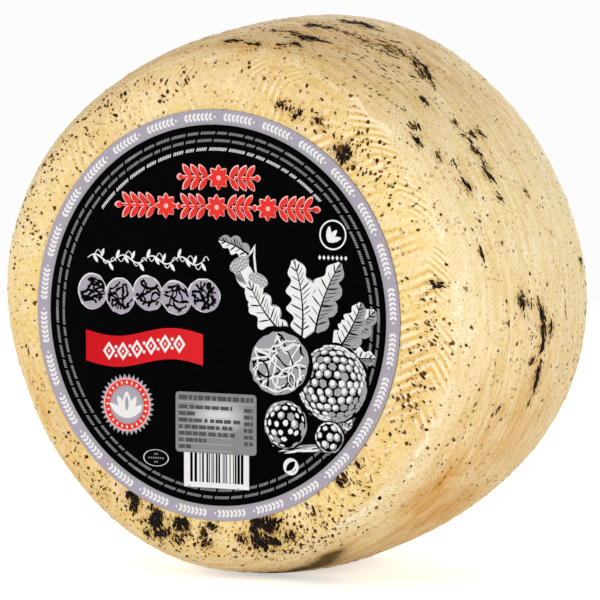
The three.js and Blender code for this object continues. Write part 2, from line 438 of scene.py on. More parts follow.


# %% [markdown]
# ## Where the truffle lies
# Truffle is mixed into the curd before pressing, so its pieces lie anywhere, and the press
# smears them along the strands and ridges. The large ones are listed as groups: turn
# in degrees, run in mm, spread round and across in mm, how many, the longest in mm, how wide
# a piece is for its length, and its lean from the way round the wheel in degrees.

# %% Groups of large truffle pieces
GROUPS = [
    (77, 141.5, 4, 1.2, 4, 13, 0.34, -3),  # long smears at the top
    (80, 123, 3, 1.2, 4, 9.5, 0.45, -10),
    (75.5, 106, 3, 1.0, 4, 13.5, 0.27, -3),
    (84.5, 107, 2, 0.8, 3, 5, 0.5, 10),
    (90, 93.5, 2, 0.8, 3, 6.4, 0.35, 15),
    (84.5, 91, 2, 0.5, 3, 6, 0.18, 0),
    (78.5, 93, 2, 0.8, 4, 3.4, 0.4, -20),
    (76, 96.5, 2, 1.0, 5, 5, 0.22, 25),
    (73, 124, 6, 3.5, 26, 3.2, 0.18, 15),  # hatching in the strands of the mark
    (65, 128, 4, 5, 44, 3.4, 0.18, -32),
    (62, 131, 3, 4, 20, 3.2, 0.18, 30),
    (60, 113, 7, 4, 26, 2.4, 0.2, -25),
    (59, 134, 1.5, 1.0, 4, 6.7, 0.26, 6),
    (58.5, 130, 1.5, 1.0, 4, 4, 0.3, 31),
    (54.5, 129, 2.5, 2.0, 8, 7, 0.14, 30),
    (55, 120, 1, 0.6, 3, 2.8, 0.35, -73),
    (48.5, 113.5, 0.8, 0.6, 3, 4.3, 0.5, -9),
    (43.5, 97.8, 0.6, 0.5, 3, 3.9, 0.85, 0),  # the round one on the front edge
    (39.7, 94.8, 0.6, 0.5, 3, 4.2, 0.36, -10),
    (41.5, 120.3, 1, 0.8, 4, 2.8, 0.55, -15),
    (38.5, 120.6, 1, 0.8, 3, 2.8, 0.25, -29),
    (38.3, 126.6, 0.7, 0.6, 3, 2.8, 0.75, 0),
    (37.8, 132, 1, 0.8, 3, 6.0, 0.38, -44),
    (37, 122.5, 0.8, 0.6, 2, 2.6, 0.6, -50),
    (34.5, 121.3, 1, 0.8, 4, 5, 0.5, -33),
    (35.5, 100, 1, 0.8, 5, 3.0, 0.3, 23),
    (33, 106, 1, 0.8, 5, 2.6, 0.4, 18),
    (29, 122, 2, 1.2, 8, 7, 0.16, -20),
    (27.7, 106.2, 0.8, 0.5, 3, 6, 0.3, -20),
    (23.5, 122.3, 0.8, 0.6, 2, 3.9, 0.48, -31),
    (24, 141.5, 2, 0.8, 4, 3, 0.22, -22),
    (19.5, 105, 2, 2.0, 6, 2.2, 0.38, 8),
    (14, 114, 0.5, 0.5, 2, 2.2, 0.5, -39),
    (12.3, 101.2, 3, 0.4, 8, 3.0, 0.28, 5),
    (49, 70.5, 1.4, 1.3, 8, 5.4, 0.75, 20),  # the big one at the label's rim
    (44, 70.5, 1.2, 0.8, 3, 2.4, 0.75, 0),
    (60, 73.5, 3, 1.5, 6, 3.0, 0.4, -12),
    (69.5, 71.5, 3, 1.5, 8, 4.6, 0.35, -38),
    (7.8, 79.7, 0.8, 0.6, 3, 3.5, 0.6, -20),  # a pair on the right of the face
    (7.3, 82.4, 0.6, 0.5, 2, 2.6, 0.8, -30),
    (7.3, 179, 0.6, 0.6, 2, 3.2, 0.6, -60),
    (1, 120.6, 2.5, 1.2, 12, 5.5, 0.2, -18),  # the long streak on the side
    (0.5, 127, 2.5, 1.0, 8, 2.5, 0.35, -35),
    (0.8, 133, 1, 0.5, 3, 4.6, 0.25, -26),
    (-2, 135, 0.8, 0.5, 3, 6, 0.45, -25),
    (-5.2, 135.7, 0.8, 0.5, 4, 6, 0.75, 0),
    (-4.5, 142, 2, 0.5, 4, 6, 0.18, -15),
    (-8.2, 136, 0.8, 0.4, 3, 5.4, 0.55, 15),
    (-11, 129.7, 0.8, 0.5, 3, 4.7, 0.35, 45),
    (-14.5, 136.5, 2, 0.4, 5, 12, 0.2, -5),
    (-20, 135.7, 1, 0.4, 3, 3.6, 0.2, 10),
    (-6, 128, 3, 2.0, 9, 2, 0.5, 30),
    (-2.5, 155.5, 3, 0.6, 6, 2.4, 0.3, 0),
    (-19, 100, 5, 1.0, 6, 2.2, 0.4, 10),
    (-21, 114.5, 2, 1.0, 3, 2.6, 0.45, 5),
    (-49.5, 72.5, 1.5, 1.5, 7, 3.8, 0.55, -75),  # the lower right of the face
    (-44, 73, 1.5, 1.5, 5, 3.4, 0.35, -60),
    (-47, 78, 4, 3.0, 14, 2.6, 0.35, -65),
    (-62, 76, 6, 3.5, 14, 2.8, 0.35, -80),
    (-70.5, 80.4, 2, 1.5, 6, 4, 0.28, -88),  # the foot of the face
    (-76.2, 73.6, 1.5, 0.8, 4, 13, 0.2, 4),
    (-75, 76, 2.5, 1.2, 4, 6, 0.45, 20),
    (-80, 76, 0.8, 0.8, 3, 5, 0.55, 80),
    (-80, 80.5, 1.2, 1.0, 5, 8.3, 0.5, 38),
    (-75.5, 81.5, 1.2, 1.2, 6, 4.9, 0.5, 70),
    (-75, 86, 4, 2.5, 10, 2.2, 0.45, 60),
    (-84.5, 78, 1.0, 1.0, 4, 4.3, 0.38, 50),
    (-93, 73.5, 1.0, 0.8, 3, 3.7, 0.5, 46),
    (-94.6, 76, 1.2, 1.2, 4, 3.4, 0.65, 46),
    (-94.3, 80, 1.0, 1.5, 5, 5.5, 0.22, -50),
    (-101.8, 74.7, 1.2, 1.0, 5, 7, 0.4, -42),
    (-101.8, 80, 1.2, 0.8, 3, 5.3, 0.4, 22),
    (-106.8, 81, 1.5, 1.0, 4, 9, 0.2, -47),
    (-108.7, 77, 1.0, 1.2, 5, 8.6, 0.5, -67),
    (-111, 73, 1.0, 0.6, 3, 3.0, 0.7, 35),
    (-111, 84, 1.0, 1.0, 3, 3.7, 0.4, -67),
    (-116.2, 75.8, 0.8, 0.8, 3, 5.6, 0.5, -70),
    (-117.8, 73.4, 1.5, 0.8, 4, 5.4, 0.45, -7),
    (-113, 80, 4, 2.5, 8, 2.2, 0.45, -50),
    (100, 78, 3, 2.0, 7, 2.3, 0.6, 60),  # the upper left of the face
    (107, 75, 4, 2.5, 8, 2.4, 0.5, 60),
    (118, 83, 3, 2.5, 8, 2.4, 0.6, 60),
    (131, 85, 6, 3.5, 12, 2.2, 0.6, 40),
    (142, 83, 4, 2.5, 8, 2.0, 0.6, 40),
    (153, 86, 2, 1.5, 4, 2.2, 0.6, 30),
    (160, 130, 8, 12, 26, 5, 0.35, 40),  # the sides and the back that the front view hides
    (-150, 120, 10, 14, 30, 6, 0.3, -40),
    (-120, 150, 8, 8, 22, 7, 0.25, 10),
    (110, 160, 9, 8, 26, 8, 0.22, 5),
    (20, 235, 8, 8, 24, 5, 0.5, 30),
    (-130, 245, 9, 9, 26, 6, 0.5, 60),
    (140, 225, 8, 6, 20, 4, 0.5, -30),
    (-50, 262, 6, 6, 14, 5, 0.6, 0),
]
CHAINS = [  # turn and run where a chain of short dashes starts and ends, and how many
    (57, 94.5, 48, 98.5, 8),
    (62, 112, 55, 106.5, 6),
    (68, 118, 61, 124, 8),
    (70, 104, 64, 109, 5),
]
DASH_LENGTHS = (0.9, 2.2)  # mm
DASH_WIDTH = 0.6 * MM
random.seed(11)


def sweep_radius(run):
    """The radius that makes a length into a turn. It never gets near zero."""
    return max(outline(run)[0], 6 * MM)


def beside(turn, run, round_mm, across_mm):
    """A place that many millimetres round the wheel and across from another."""
    return turn + round_mm * MM / sweep_radius(run), run + across_mm * MM


def leaned(along, across, lean):
    """A step along and across a piece, as one step round the wheel and one across it."""
    round_way = along * math.cos(lean) - across * math.sin(lean)
    return round_way, along * math.sin(lean) + across * math.cos(lean)


pieces = []  # each is turn, run, length, width and lean, in radians and metres
for turn, run, spread_round, spread_across, count, longest, slender, lean in GROUPS:
    for i in range(count):
        first = i == 0
        offset = (0, 0)
        if not first:
            offset = (random.gauss(0, spread_round), random.gauss(0, spread_across))
        length = longest if first else longest * random.uniform(0.25, 0.8)
        width = length * slender * random.uniform(0.75, 1.35)
        tilt = math.radians(lean + random.gauss(0, 12))
        spot = beside(math.radians(turn), run * MM, *offset)
        pieces.append((*spot, length * MM, width * MM, tilt))
for first_turn, first_run, last_turn, last_run, count in CHAINS:
    for i in range(count):
        share = i / (count - 1)
        turn = math.radians(first_turn + (last_turn - first_turn) * share)
        run = (first_run + (last_run - first_run) * share + random.gauss(0, 0.25)) * MM
        length = random.uniform(*DASH_LENGTHS) * MM
        pieces.append((turn, run, length, DASH_WIDTH, random.gauss(-0.5, 0.2)))
print(len(pieces), "truffle pieces in groups and chains")

# %% [markdown]
# ## The small specks
# Between the groups lie thousands of crumbs. A seeded draw places them evenly over the area
# and a slow noise thins them out in places. The faces hold more than the side, and there the
# crumbs gather in the grooves. On the side they lean with the strands.

# %% Small specks all over
SPECKS = 17000  # drawn, of which most are thinned out again
SPECK_LENGTHS = (0.4, 1.9)  # mm
MOSTLY_SHORT = 2.6  # the power that a draw from 0 to 1 is raised to
CROWDED_SHORT = 2.0
MIDDLE_GAP = 2 * MM  # kept free in the middle of each face
CHANCE = {"side": 0.24, "front": 0.85, "back": 0.45}
CROWD_RATE = 28  # noise cells a metre
ON_RIDGE = 0.55  # of the chance in a groove
CROWDED = [  # spots that hold more: turn in degrees, run in mm, reach of both, and how many
    (-70, 84, 20, 10, 260),
    (-100, 79, 18, 8, 130),
    (-128, 78, 14, 6, 80),
    (150, 82, 24, 9, 150),
    (120, 80, 14, 8, 60),
    (45, 76, 14, 8, 110),
    (-3, 79, 8, 5, 50),
    (-22, 76, 10, 5, 70),
]


def strand_lean(run):
    """The lean of the strands in the band at this run, in radians."""
    band = int((outline(run)[1] - SIDE_START) / BAND_WIDTH)
    return math.pi / 4 if band % 2 else -math.pi / 4


def ridge_lean(turn):
    """The lean of the face's ridges at this turn, in radians."""
    return ridge_sector(turn)[0] - turn - math.pi / 2


def speck(turn, run, power):
    """One speck with a size and lean of its own. A high power gives mostly short ones."""
    length = SPECK_LENGTHS[0] + (SPECK_LENGTHS[1] - SPECK_LENGTHS[0]) * random.random() ** power
    if face_share(run) > 0.5:
        lean = ridge_lean(turn)
    else:
        lean = random.choice((0, strand_lean(run), strand_lean(run)))
    width = length * random.uniform(0.4, 0.85)
    return turn, run, length * MM, width * MM, lean + random.gauss(0, 0.3)


def crowd(turn, run, place):
    """The chance that a speck drawn here is kept."""
    slow = noise.noise(place * CROWD_RATE)
    if face_share(run) < 0.5:
        return CHANCE["side"] + 0.45 * slow
    in_groove = math.sin(2 * math.pi * ridge_phase(turn, run, place)) < 0
    thick = CHANCE["front"] if place.y < MIDDLE_Y else CHANCE["back"]
    return (thick + 0.6 * slow) * (1.0 if in_groove else ON_RIDGE)


for _ in range(SPECKS):
    turn = random.uniform(-math.pi, math.pi)
    run = random.uniform(MIDDLE_GAP, END_RUN - MIDDLE_GAP)
    if random.random() > outline(run)[0] / WHEEL_RADIUS:
        continue
    place = form(turn, run)[0]
    if under_label(place) == 0 and random.random() < crowd(turn, run, place):
        pieces.append(speck(turn, run, MOSTLY_SHORT))
for middle_turn, middle_run, reach_turn, reach_run, count in CROWDED:
    for _ in range(count):
        turn = math.radians(random.gauss(middle_turn, reach_turn / 2))
        run = random.gauss(middle_run, reach_run / 2) * MM
        if under_label(form(turn, run)[0]) == 0:
            pieces.append(speck(turn, run, CROWDED_SHORT))
print(len(pieces), "truffle pieces in all")

# %% [markdown]
# ## Large pieces crumble
# A large piece isn't one smooth lump. The press tore it along the grain, so it is a row of
# short lumps that lie side by side, with crumbs scattered beside it. On a face the lumps lean
# like the ridges, and on the side they lie along the piece. Each large piece is therefore broken
# up here into many smaller ones that cover the same place.

# %% Break up the large pieces
LARGE = 2.4 * MM
COVER = 1.5  # how much lump area lies on each part of the piece's own area
CRUMBS = 7  # scattered beside each large piece
FACE_LUMP = 2.1 * MM  # how long a lump is
SIDE_LUMP = 2.4 * MM
LUMP_WIDTH = 0.75 * MM
LUMP_SIZES = (0.6, 1.35)  # as shares of that length and width
CRUMB_SIZES = (0.25, 0.55)
CRUMB_REACH = 1.1 * MM  # how far off the piece's edge crumbs lie


def covered(turn, run, length):
    """True where the label would cover most of a piece."""
    place = form(turn, run)[0]
    return place.y < MIDDLE_Y and from_label(place) < LABEL_RADIUS + length * 0.1


def crumble(turn, run, length, width, lean):
    """The lumps and crumbs that one large piece is made of, as smaller pieces."""
    on_face = face_share(run) > 0.5
    lump_length = min(FACE_LUMP if on_face else SIDE_LUMP, length)
    lump_width = min(LUMP_WIDTH, width)
    count = math.ceil(COVER * length * width / (lump_length * lump_width))
    comb = ridge_lean(turn) if on_face else lean
    made = []
    for i in range(count + CRUMBS):
        crumb = i >= count
        along = ((i + random.random()) / count - 0.5) * (length - lump_length * 0.4)
        room = math.sqrt(max(1 - (2 * along / length) ** 2, 0.1))
        across = min(max(random.gauss(0, 0.26), -0.65), 0.65) * width * room
        if crumb:
            along, across = random.gauss(0, length / 2), random.gauss(0, width / 2 + CRUMB_REACH)
        round_way, across_way = leaned(along, across, lean)
        size = random.uniform(*(CRUMB_SIZES if crumb else LUMP_SIZES))
        spot = beside(turn, run, round_way / MM, across_way / MM)
        wide = lump_width * min(size, 1.1) * random.uniform(0.75, 1.15)
        made.append((*spot, lump_length * size, wide, comb + random.gauss(0, 0.25)))
    return made


kept = [piece for piece in pieces if not covered(*piece[:3])]
specks = [piece for piece in kept if piece[2] <= LARGE]
lumps = []
for piece in kept:
    if piece[2] > LARGE:
        lumps += crumble(*piece)
lumps = [piece for piece in lumps if not covered(*piece[:3])]
print(len(lumps), "lumps and", len(specks), "specks")

# %% [markdown]
# ## A truffle piece as mesh
# Each piece starts as a capped circle. Its corners are pushed in and out to make it ragged. Then
# the face is extruded and drawn in a little, so the piece is a closed, flat crumb. Every corner
# is put on the rind: the lower face under the surface and the upper one just over it. Lumps go
# into one mesh and specks into another, because the curd shows through a speck and makes it
# brown. How thin each one is gets noted for the colour.

# %% Make the truffle pieces
SUNK = -0.15 * MM
PROUD = (0.06 * MM, 0.14 * MM)
DRAWN_IN = 0.86
SHORT = 1.25 * MM
SHORT_SIDES, LONG_SIDES = 6, 9  # corners of a shorter and of a longer one
RAGGED = (-0.34, 0.3)  # how far a corner moves in or out, as a share
THIN = {"lumps": (0.0, 0.2), "specks": (0.3, 1.3)}  # the least and the most


def truffle_piece(turn, run, length, width, lean):
    piece = bmesh.new()
    sides = SHORT_SIDES if length < SHORT else LONG_SIDES
    ring = bmesh.ops.create_circle(piece, cap_ends=True, segments=sides, radius=1)["verts"]
    for corner in ring:
        ragged = 1 + random.uniform(*RAGGED)
        corner.co.x *= ragged * length / 2
        corner.co.y *= ragged * width / 2
    lower = set(ring)
    face = ring[0].link_faces[0]
    made = bmesh.ops.extrude_face_region(piece, geom=[face], use_keep_orig=True)["geom"]
    upper = [item for item in made if isinstance(item, bmesh.types.BMVert)]
    bmesh.ops.scale(piece, vec=(DRAWN_IN, DRAWN_IN, 1), verts=upper)
    height = random.uniform(*PROUD)
    for corner in piece.verts:
        round_way, across = leaned(corner.co.x, corner.co.y, lean)
        lift = SUNK if corner in lower else height
        corner.co = on_rind(turn + round_way / sweep_radius(run), min(run + across, END_RUN), lift)
    return piece


truffle_meshes = {"lumps": bmesh.new(), "specks": bmesh.new()}
thinness = {"lumps": [], "specks": []}  # of every vertex
for kind, many in (("lumps", lumps), ("specks", specks)):
    for piece in many:
        made = truffle_piece(*piece)
        thinness[kind] += [random.uniform(*THIN[kind])] * len(made.verts)
        move_into(truffle_meshes[kind], made)
    bmesh.ops.recalc_face_normals(truffle_meshes[kind], faces=truffle_meshes[kind].faces[:])
    print(kind, "have", len(truffle_meshes[kind].faces), "faces")

# %% [markdown]
# ## The rind's mesh
# The outline is a chain of vertices, spun once round the wheel's axis. Rings lie close together
# where the ridges are fine and further apart on the side. Then every vertex moves to its place
# on the uneven, marked surface. The mesh also remembers, at each vertex, which ridge it is on,
# how stained the rind is there, and its painted shade and highlight, so that the colours can
# follow the form.

# %% Spin the wheel
TURNS = 600
RINGS = [0, 30 * MM, 60 * MM, 66 * MM]  # under the label, where the face is flat
MERGE = 0.005 * MM


def ring_runs(start, end, step):
    """Evenly spaced runs from start up to, but not at, the end."""
    count = max(1, round((end - start) / step))
    return [start + (end - start) * i / count for i in range(count)]


RINGS += ring_runs(68 * MM, SIDE_RUN, 0.62 * MM)
RINGS += ring_runs(SIDE_RUN, BACK_CORNER_RUN, 1.5 * MM)
RINGS += ring_runs(BACK_CORNER_RUN, BACK_RUN, 1.6 * MM)
RINGS += ring_runs(BACK_RUN, END_RUN, 1.9 * MM) + [END_RUN]

wheel_mesh = bmesh.new()
run_layer = wheel_mesh.verts.layers.float.new("run")
chain = []
for run in RINGS:
    radius, along, tip = outline(run)
    vertex = wheel_mesh.verts.new((AXIS_X + radius, MIDDLE_Y + along, AXIS_Z))
    vertex[run_layer] = run
    chain.append(vertex)
edges = [wheel_mesh.edges.new(pair) for pair in zip(chain, chain[1:])]
bmesh.ops.spin(
    wheel_mesh,
    geom=chain + edges,
    cent=(AXIS_X, MIDDLE_Y, AXIS_Z),
    axis=(0, 1, 0),
    angle=2 * math.pi,
    steps=TURNS,
    use_merge=True,
)
bmesh.ops.remove_doubles(wheel_mesh, verts=wheel_mesh.verts[:], dist=MERGE)
bmesh.ops.recalc_face_normals(wheel_mesh, faces=wheel_mesh.faces[:])
print(len(wheel_mesh.faces), "faces,", len(RINGS), "rings")

# %% [markdown]
# ## Stains, tan and pale parts
# The rind is browner round the truffle. It is tan at the top and the lower right, partly its own
# tone and partly painted shade where less light falls, and pale on the front edge, partly its own
# tone and partly a painted highlight. Each tan, pale or dark field is a few soft spots: turn in
# degrees, run in mm, how far one reaches each way, and its strength. The brown stains are worked
# out from the larger truffle pieces, with a tree that finds the ones near a point quickly.

# %% Fields of colour
# tan spots: partly the rind's own tan, partly painted shade at the top and on the underside
TAN_AND_SHADE_SPOTS = [
    (82, 118, 34, 46, 0.65),
    (60, 150, 22, 34, 0.5),
    (118, 130, 30, 50, 0.7),
    (-42, 108, 13, 14, 1.0),
    (-48, 130, 16, 26, 0.85),
    (-64, 100, 12, 10, 0.45),
    (-90, 125, 26, 30, 0.6),
    (-135, 120, 26, 40, 0.6),
    (-26, 132, 24, 44, 0.6),
    (-35, 106, 12, 14, 0.5),
    (88, 92, 30, 10, 0.55),
    (-155, 80, 24, 10, 0.4),
    (-20, 77, 16, 6, 0.35),
    (128, 70, 14, 12, 0.35),
    (170, 200, 40, 30, 0.5),
    (10, 215, 40, 22, 0.4),
    (-95, 235, 40, 30, 0.5),
]
# pale spots: partly the rind's own pale tone, partly a painted highlight on the front edge and the
# top of the face
PALE_AND_HIGHLIGHT_SPOTS = [
    (8, 91, 34, 7, 0.9),
    (100, 77, 34, 8, 0.9),
    (10, 83, 34, 3.5, 0.7),
    (50, 88, 20, 6, 0.6),
    (-30, 88, 18, 5, 1.0),
    (-52, 87, 14, 4, 0.9),
    (5, 150, 30, 40, 0.5),
    (150, 80, 30, 12, 0.3),
]
DARK_SPOTS = [  # a dark olive patch low on the side, next to where the wheel meets the table
    (-68.5, 100.5, 3, 4, 0.9),
    (-72, 105, 3.5, 5, 1.0),
    (-77, 111, 5, 6, 1.0),
    (-85, 112.5, 8, 5, 0.7),
]
STAINING = 2.0 * MM  # pieces longer than this stain the rind
STAIN_REACH = 6 * MM
STAIN_MARGIN = 0.7 * MM  # round the edge of a piece
STAIN_STRENGTH = 0.45


def field(spots, turn, run):
    """The strongest of the soft spots at a place on the rind."""
    best = 0.0
    for spot_turn, spot_run, reach_turn, reach_run, strength in spots:
        across = math.degrees(turn_between(turn, math.radians(spot_turn))) / reach_turn
        along = (run / MM - spot_run) / reach_run
        best = max(best, strength * math.exp(-(across**2) - along**2))
    return best


staining = [piece for piece in kept if piece[2] > STAINING]
stain_tree = kdtree.KDTree(len(staining))
for i, piece in enumerate(staining):
    stain_tree.insert(form(piece[0], piece[1])[0], i)
stain_tree.balance()
print(len(staining), "pieces stain the rind")


def stain(place):
    """How brown the rind is at a point, from the pieces near it."""
    total = 0.0
    for _, i, away in stain_tree.find_range(place, STAIN_REACH):
        total += STAIN_STRENGTH * math.exp(-((away / (staining[i][2] / 2 + STAIN_MARGIN)) ** 2))
    return min(total, 1.0)


# %% Shape the wheel and store the fields
FIELDS = ("ridge_phase", "ridge_strength", "face", "tan", "pale", "dark", "stain")
layers = {name: wheel_mesh.verts.layers.float.new(name) for name in FIELDS}
turn_of = {}
for vertex in wheel_mesh.verts:
    turn = math.atan2(vertex.co.z - AXIS_Z, vertex.co.x - AXIS_X)
    run = vertex[run_layer]
    place = form(turn, run)[0]
    vertex.co = on_rind(turn, run)
    vertex[layers["ridge_phase"]] = ridge_phase(turn, run, place)
    vertex[layers["ridge_strength"]] = ridge_strength(turn, run, place)
    vertex[layers["face"]] = face_share(run)
    # the tan field holds painted shade as well as tan, and the pale field a painted highlight as
    # well as pale rind
    vertex[layers["tan"]] = field(TAN_AND_SHADE_SPOTS, turn, run)
    vertex[layers["pale"]] = field(PALE_AND_HIGHLIGHT_SPOTS, turn, run)
    vertex[layers["dark"]] = field(DARK_SPOTS, turn, run)
    vertex[layers["stain"]] = stain(place)
    turn_of[vertex.index] = turn
print("the rind spans", round((max(v.co.z for v in wheel_mesh.verts)) / MM, 1), "mm in height")

# %% [markdown]
# The fine grass fibres are too thin for the mesh, so the material draws them. It needs to know
# how far round the wheel a point is, and a UV map tells it: U is the turn as a share of the
# whole way round, and V is the run in metres. Where a face crosses the join, its low values
# are raised by one whole turn.

# %% Lay out the UV map
round_map = wheel_mesh.loops.layers.uv.new("round_and_across")
wheel_mesh.verts.index_update()
for face in wheel_mesh.faces:
    shares = [turn_of[loop.vert.index] / (2 * math.pi) % 1.0 for loop in face.loops]
    crosses = max(shares) - min(shares) > 0.5
    for loop, share in zip(face.loops, shares):
        raised = share + 1 if crosses and share < 0.5 else share
        loop[round_map].uv = (raised, loop.vert[run_layer])

# %% [markdown]
# ## Cheese rind
# Pressed sheep cheese has a hard, slightly oily rind: pale straw on the side and a warmer
# yellow on the faces. Light goes a little way in, so it gets some subsurface scattering. The
# colours are laid one over the other: base, mottling, streaks round the side, the pale fields
# with their painted highlight, grain, tan with its painted shade, ridges with painted shade in
# the grooves and a painted highlight on the crests, the seam, the belt's fibres, stains, the dark
# patch and last the finest specks.

# %% Material: cheese rind
FIBRES = STRANDS * 5  # grass fibres round the wheel, five to a strand
DRAWN_OUT = 10  # how many times longer than wide a streak is
MOTTLING = [  # size in mm, detail, where in the noise it starts and is full, strength, colour
    (34, 3.0, 0.38, 0.66, 0.4, "#ebc57c"),
    (9, 3.0, 0.45, 0.7, 0.45, "#f9ebc4"),
    (3.3, 3.0, 0.48, 0.66, 0.5, "#fbe5c6"),  # pinkish cream
    (4.4, 4.0, 0.5, 0.68, 0.5, "#e7d486"),  # greenish yellow
    (2.2, 3.0, 0.56, 0.7, 0.5, "#e9b568"),  # small orange spots
]
SEAM_WANDER = 11 * MM
SEAM_WIDTH = (1.3 * MM, 0.3 * MM)  # where it starts to show and where it is full
FRECKLES = [  # how far apart and how large in mm, how strong, colour
    (1.3, 0.42, 0.6, "#b27d36"),
    (2.1, 0.62, 0.8, "#8c5b26"),
    (3.3, 0.75, 0.9, "#523415"),
]
FRECKLE_SHARE = 0.5  # of the noise's cells hold one
FRECKLE_BEND = 1.1 * MM  # makes their edges ragged


def rind_material():
    material, tree, shader = new_material("pressed_cheese_rind", 0.55, 0.12)
    place = object_place(tree)
    share = {}
    for name in FIELDS:
        share[name] = add_node(tree, "ShaderNodeAttribute", attribute_name=name).outputs["Fac"]

    def maths(operation, *values, clamp=False):
        sockets = dict(enumerate(values))
        node = add_node(tree, "ShaderNodeMath", sockets, operation=operation, use_clamp=clamp)
        return node.outputs[0]

    def cloud(size_mm, detail=3.0, source=place):
        return soft_noise(tree, source, size_mm * MM, detail, 0.55)

    def steps(value, low, high):
        return ramp(tree, value, low, high)

    def tint(under, where, strength, hex_code):
        return mix(tree, maths("MULTIPLY", where, strength), under, colour(hex_code))

    side = maths("SUBTRACT", 1.0, share["face"], clamp=True)
    base = mix(tree, share["face"], colour("#f2dfa8"), colour("#f6d88c"))
    for size, detail, low, high, strength, hex_code in MOTTLING:
        base = tint(base, steps(cloud(size, detail), low, high), strength, hex_code)

    # Streaks that run round the wheel: a noise drawn out that way
    uv = add_node(tree, "ShaderNodeUVMap", uv_map="round_and_across").outputs[0]
    parts = add_node(tree, "ShaderNodeSeparateXYZ", {0: uv})
    around = maths("MULTIPLY", parts.outputs[0], 2 * math.pi)
    reach = WHEEL_RADIUS / DRAWN_OUT
    circle = [maths("MULTIPLY", maths(way, around), reach) for way in ("COSINE", "SINE")]
    drawn = {0: circle[0], 1: circle[1], 2: parts.outputs[1]}
    long_way = add_node(tree, "ShaderNodeCombineXYZ", drawn).outputs[0]
    streaky = maths("MAXIMUM", side, share["tan"])
    pale_streak = steps(cloud(1.5, 4.0, long_way), 0.47, 0.62)
    base = tint(base, maths("MULTIPLY", pale_streak, streaky), 0.5, "#fff5d6")
    streak = steps(cloud(2.4, 4.0, long_way), 0.46, 0.64)
    base = tint(base, maths("MULTIPLY", streak, streaky), 0.5, "#dbb564")

    # the pale fields: partly the rind's own pale tone, partly a painted highlight on the front
    # edge
    base = tint(base, share["pale"], 0.6, "#f8e8bf")
    grain = cloud(0.9)
    base = tint(base, steps(grain, 0.53, 0.66), 0.34, "#d3a956")
    base = tint(base, steps(grain, 0.47, 0.35), 0.3, "#fff4d6")
    # tan: partly the rind's own tone, partly painted shade at the top and the underside
    tan = maths("MULTIPLY", share["tan"], steps(cloud(14, 4.0), 0.15, 0.52), clamp=True)
    tan = maths("MULTIPLY", tan, maths("ADD", 0.85, maths("MULTIPLY", streak, 0.3)), clamp=True)
    base = tint(base, tan, 1.0, "#ca8c2a")

    # The face's ridges: cream on the crests and golden in the grooves, partly the rind's own tones
    # and partly a painted highlight on the crests and painted shade in the grooves
    wave = maths("SINE", maths("MULTIPLY", share["ridge_phase"], 2 * math.pi))
    wave = maths("MULTIPLY", wave, share["ridge_strength"])
    groove = steps(wave, -0.1, -0.8)
    base = tint(base, groove, 0.65, "#e0ab52")
    base = tint(base, steps(wave, 0.1, 0.8), 0.6, "#fef0ca")

    # The pale seam where the belt met the board wanders a little off the crease
    wander = maths("MULTIPLY", maths("SUBTRACT", cloud(9), 0.5), SEAM_WANDER)
    off_seam = maths("SUBTRACT", maths("SUBTRACT", parts.outputs[1], CREASE_RUN), wander)
    near_seam = steps(maths("ABSOLUTE", off_seam), *SEAM_WIDTH)
    seam = maths("MULTIPLY", near_seam, steps(cloud(5), 0.4, 0.55))
    base = tint(base, maths("MULTIPLY", seam, share["pale"], clamp=True), 0.9, "#fff6da")

    # The belt's fibres on the side
    along = add_node(tree, "ShaderNodeSeparateXYZ", {0: place}).outputs[1]
    bands = maths("SUBTRACT", along, MIDDLE_Y + SIDE_START)
    slid = maths("PINGPONG", maths("ADD", bands, BAND_WIDTH * 2 * BELT_BANDS), BAND_WIDTH)
    slid = maths("MULTIPLY", slid, math.tan(STRAND_LEAN) / WHEEL_RADIUS)
    fibre = maths("SINE", maths("MULTIPLY", maths("ADD", around, slid), float(FIBRES)))
    fibre = maths("MULTIPLY", fibre, maths("MULTIPLY", side, steps(cloud(11, 2.0), 0.42, 0.6)))
    base = tint(base, steps(fibre, 0.1, 0.9), 0.26, "#d6ad62")
    base = tint(base, steps(fibre, -0.1, -0.9), 0.22, "#fdf1cd")

    brown = maths("MULTIPLY", share["stain"], steps(cloud(2.6, 4.0), 0.3, 0.6), clamp=True)
    base = tint(base, brown, 0.8, "#b98a3d")
    # a dark olive patch low on the side, next to where the wheel meets the table
    dark = maths("MULTIPLY", share["dark"], steps(cloud(7, 4.0), 0.12, 0.42))
    base = tint(base, maths("MULTIPLY", dark, 2.0, clamp=True), 1.0, "#5c4704")

    # Crumbs of truffle too small for the mesh
    gathered = maths("ADD", share["stain"], maths("MULTIPLY", groove, 0.7))
    gathered = maths("ADD", gathered, steps(cloud(12, 2.0), 0.36, 0.6), clamp=True)
    sockets = {"Vector": place, "Scale": 1 / (0.8 * MM), "Detail": 2.0}
    ragged = add_node(tree, "ShaderNodeTexNoise", sockets).outputs["Color"]
    sockets = {0: ragged, 1: (FRECKLE_BEND, FRECKLE_BEND, FRECKLE_BEND), 2: place}
    bent = add_node(tree, "ShaderNodeVectorMath", sockets, operation="MULTIPLY_ADD").outputs[0]
    for apart, largest, strength, hex_code in FRECKLES:
        cells = add_node(tree, "ShaderNodeTexVoronoi", {"Vector": bent, "Scale": 1 / (apart * MM)})
        chosen = add_node(tree, "ShaderNodeSeparateXYZ", {0: cells.outputs["Color"]}).outputs[0]
        dots = steps(cells.outputs["Distance"], largest / apart, 0.4 * largest / apart)
        dots = maths("MULTIPLY", dots, maths("GREATER_THAN", chosen, 1 - FRECKLE_SHARE))
        base = tint(base, maths("MULTIPLY", dots, gathered), strength, hex_code)
    tree.links.new(base, shader.inputs["Base Color"])

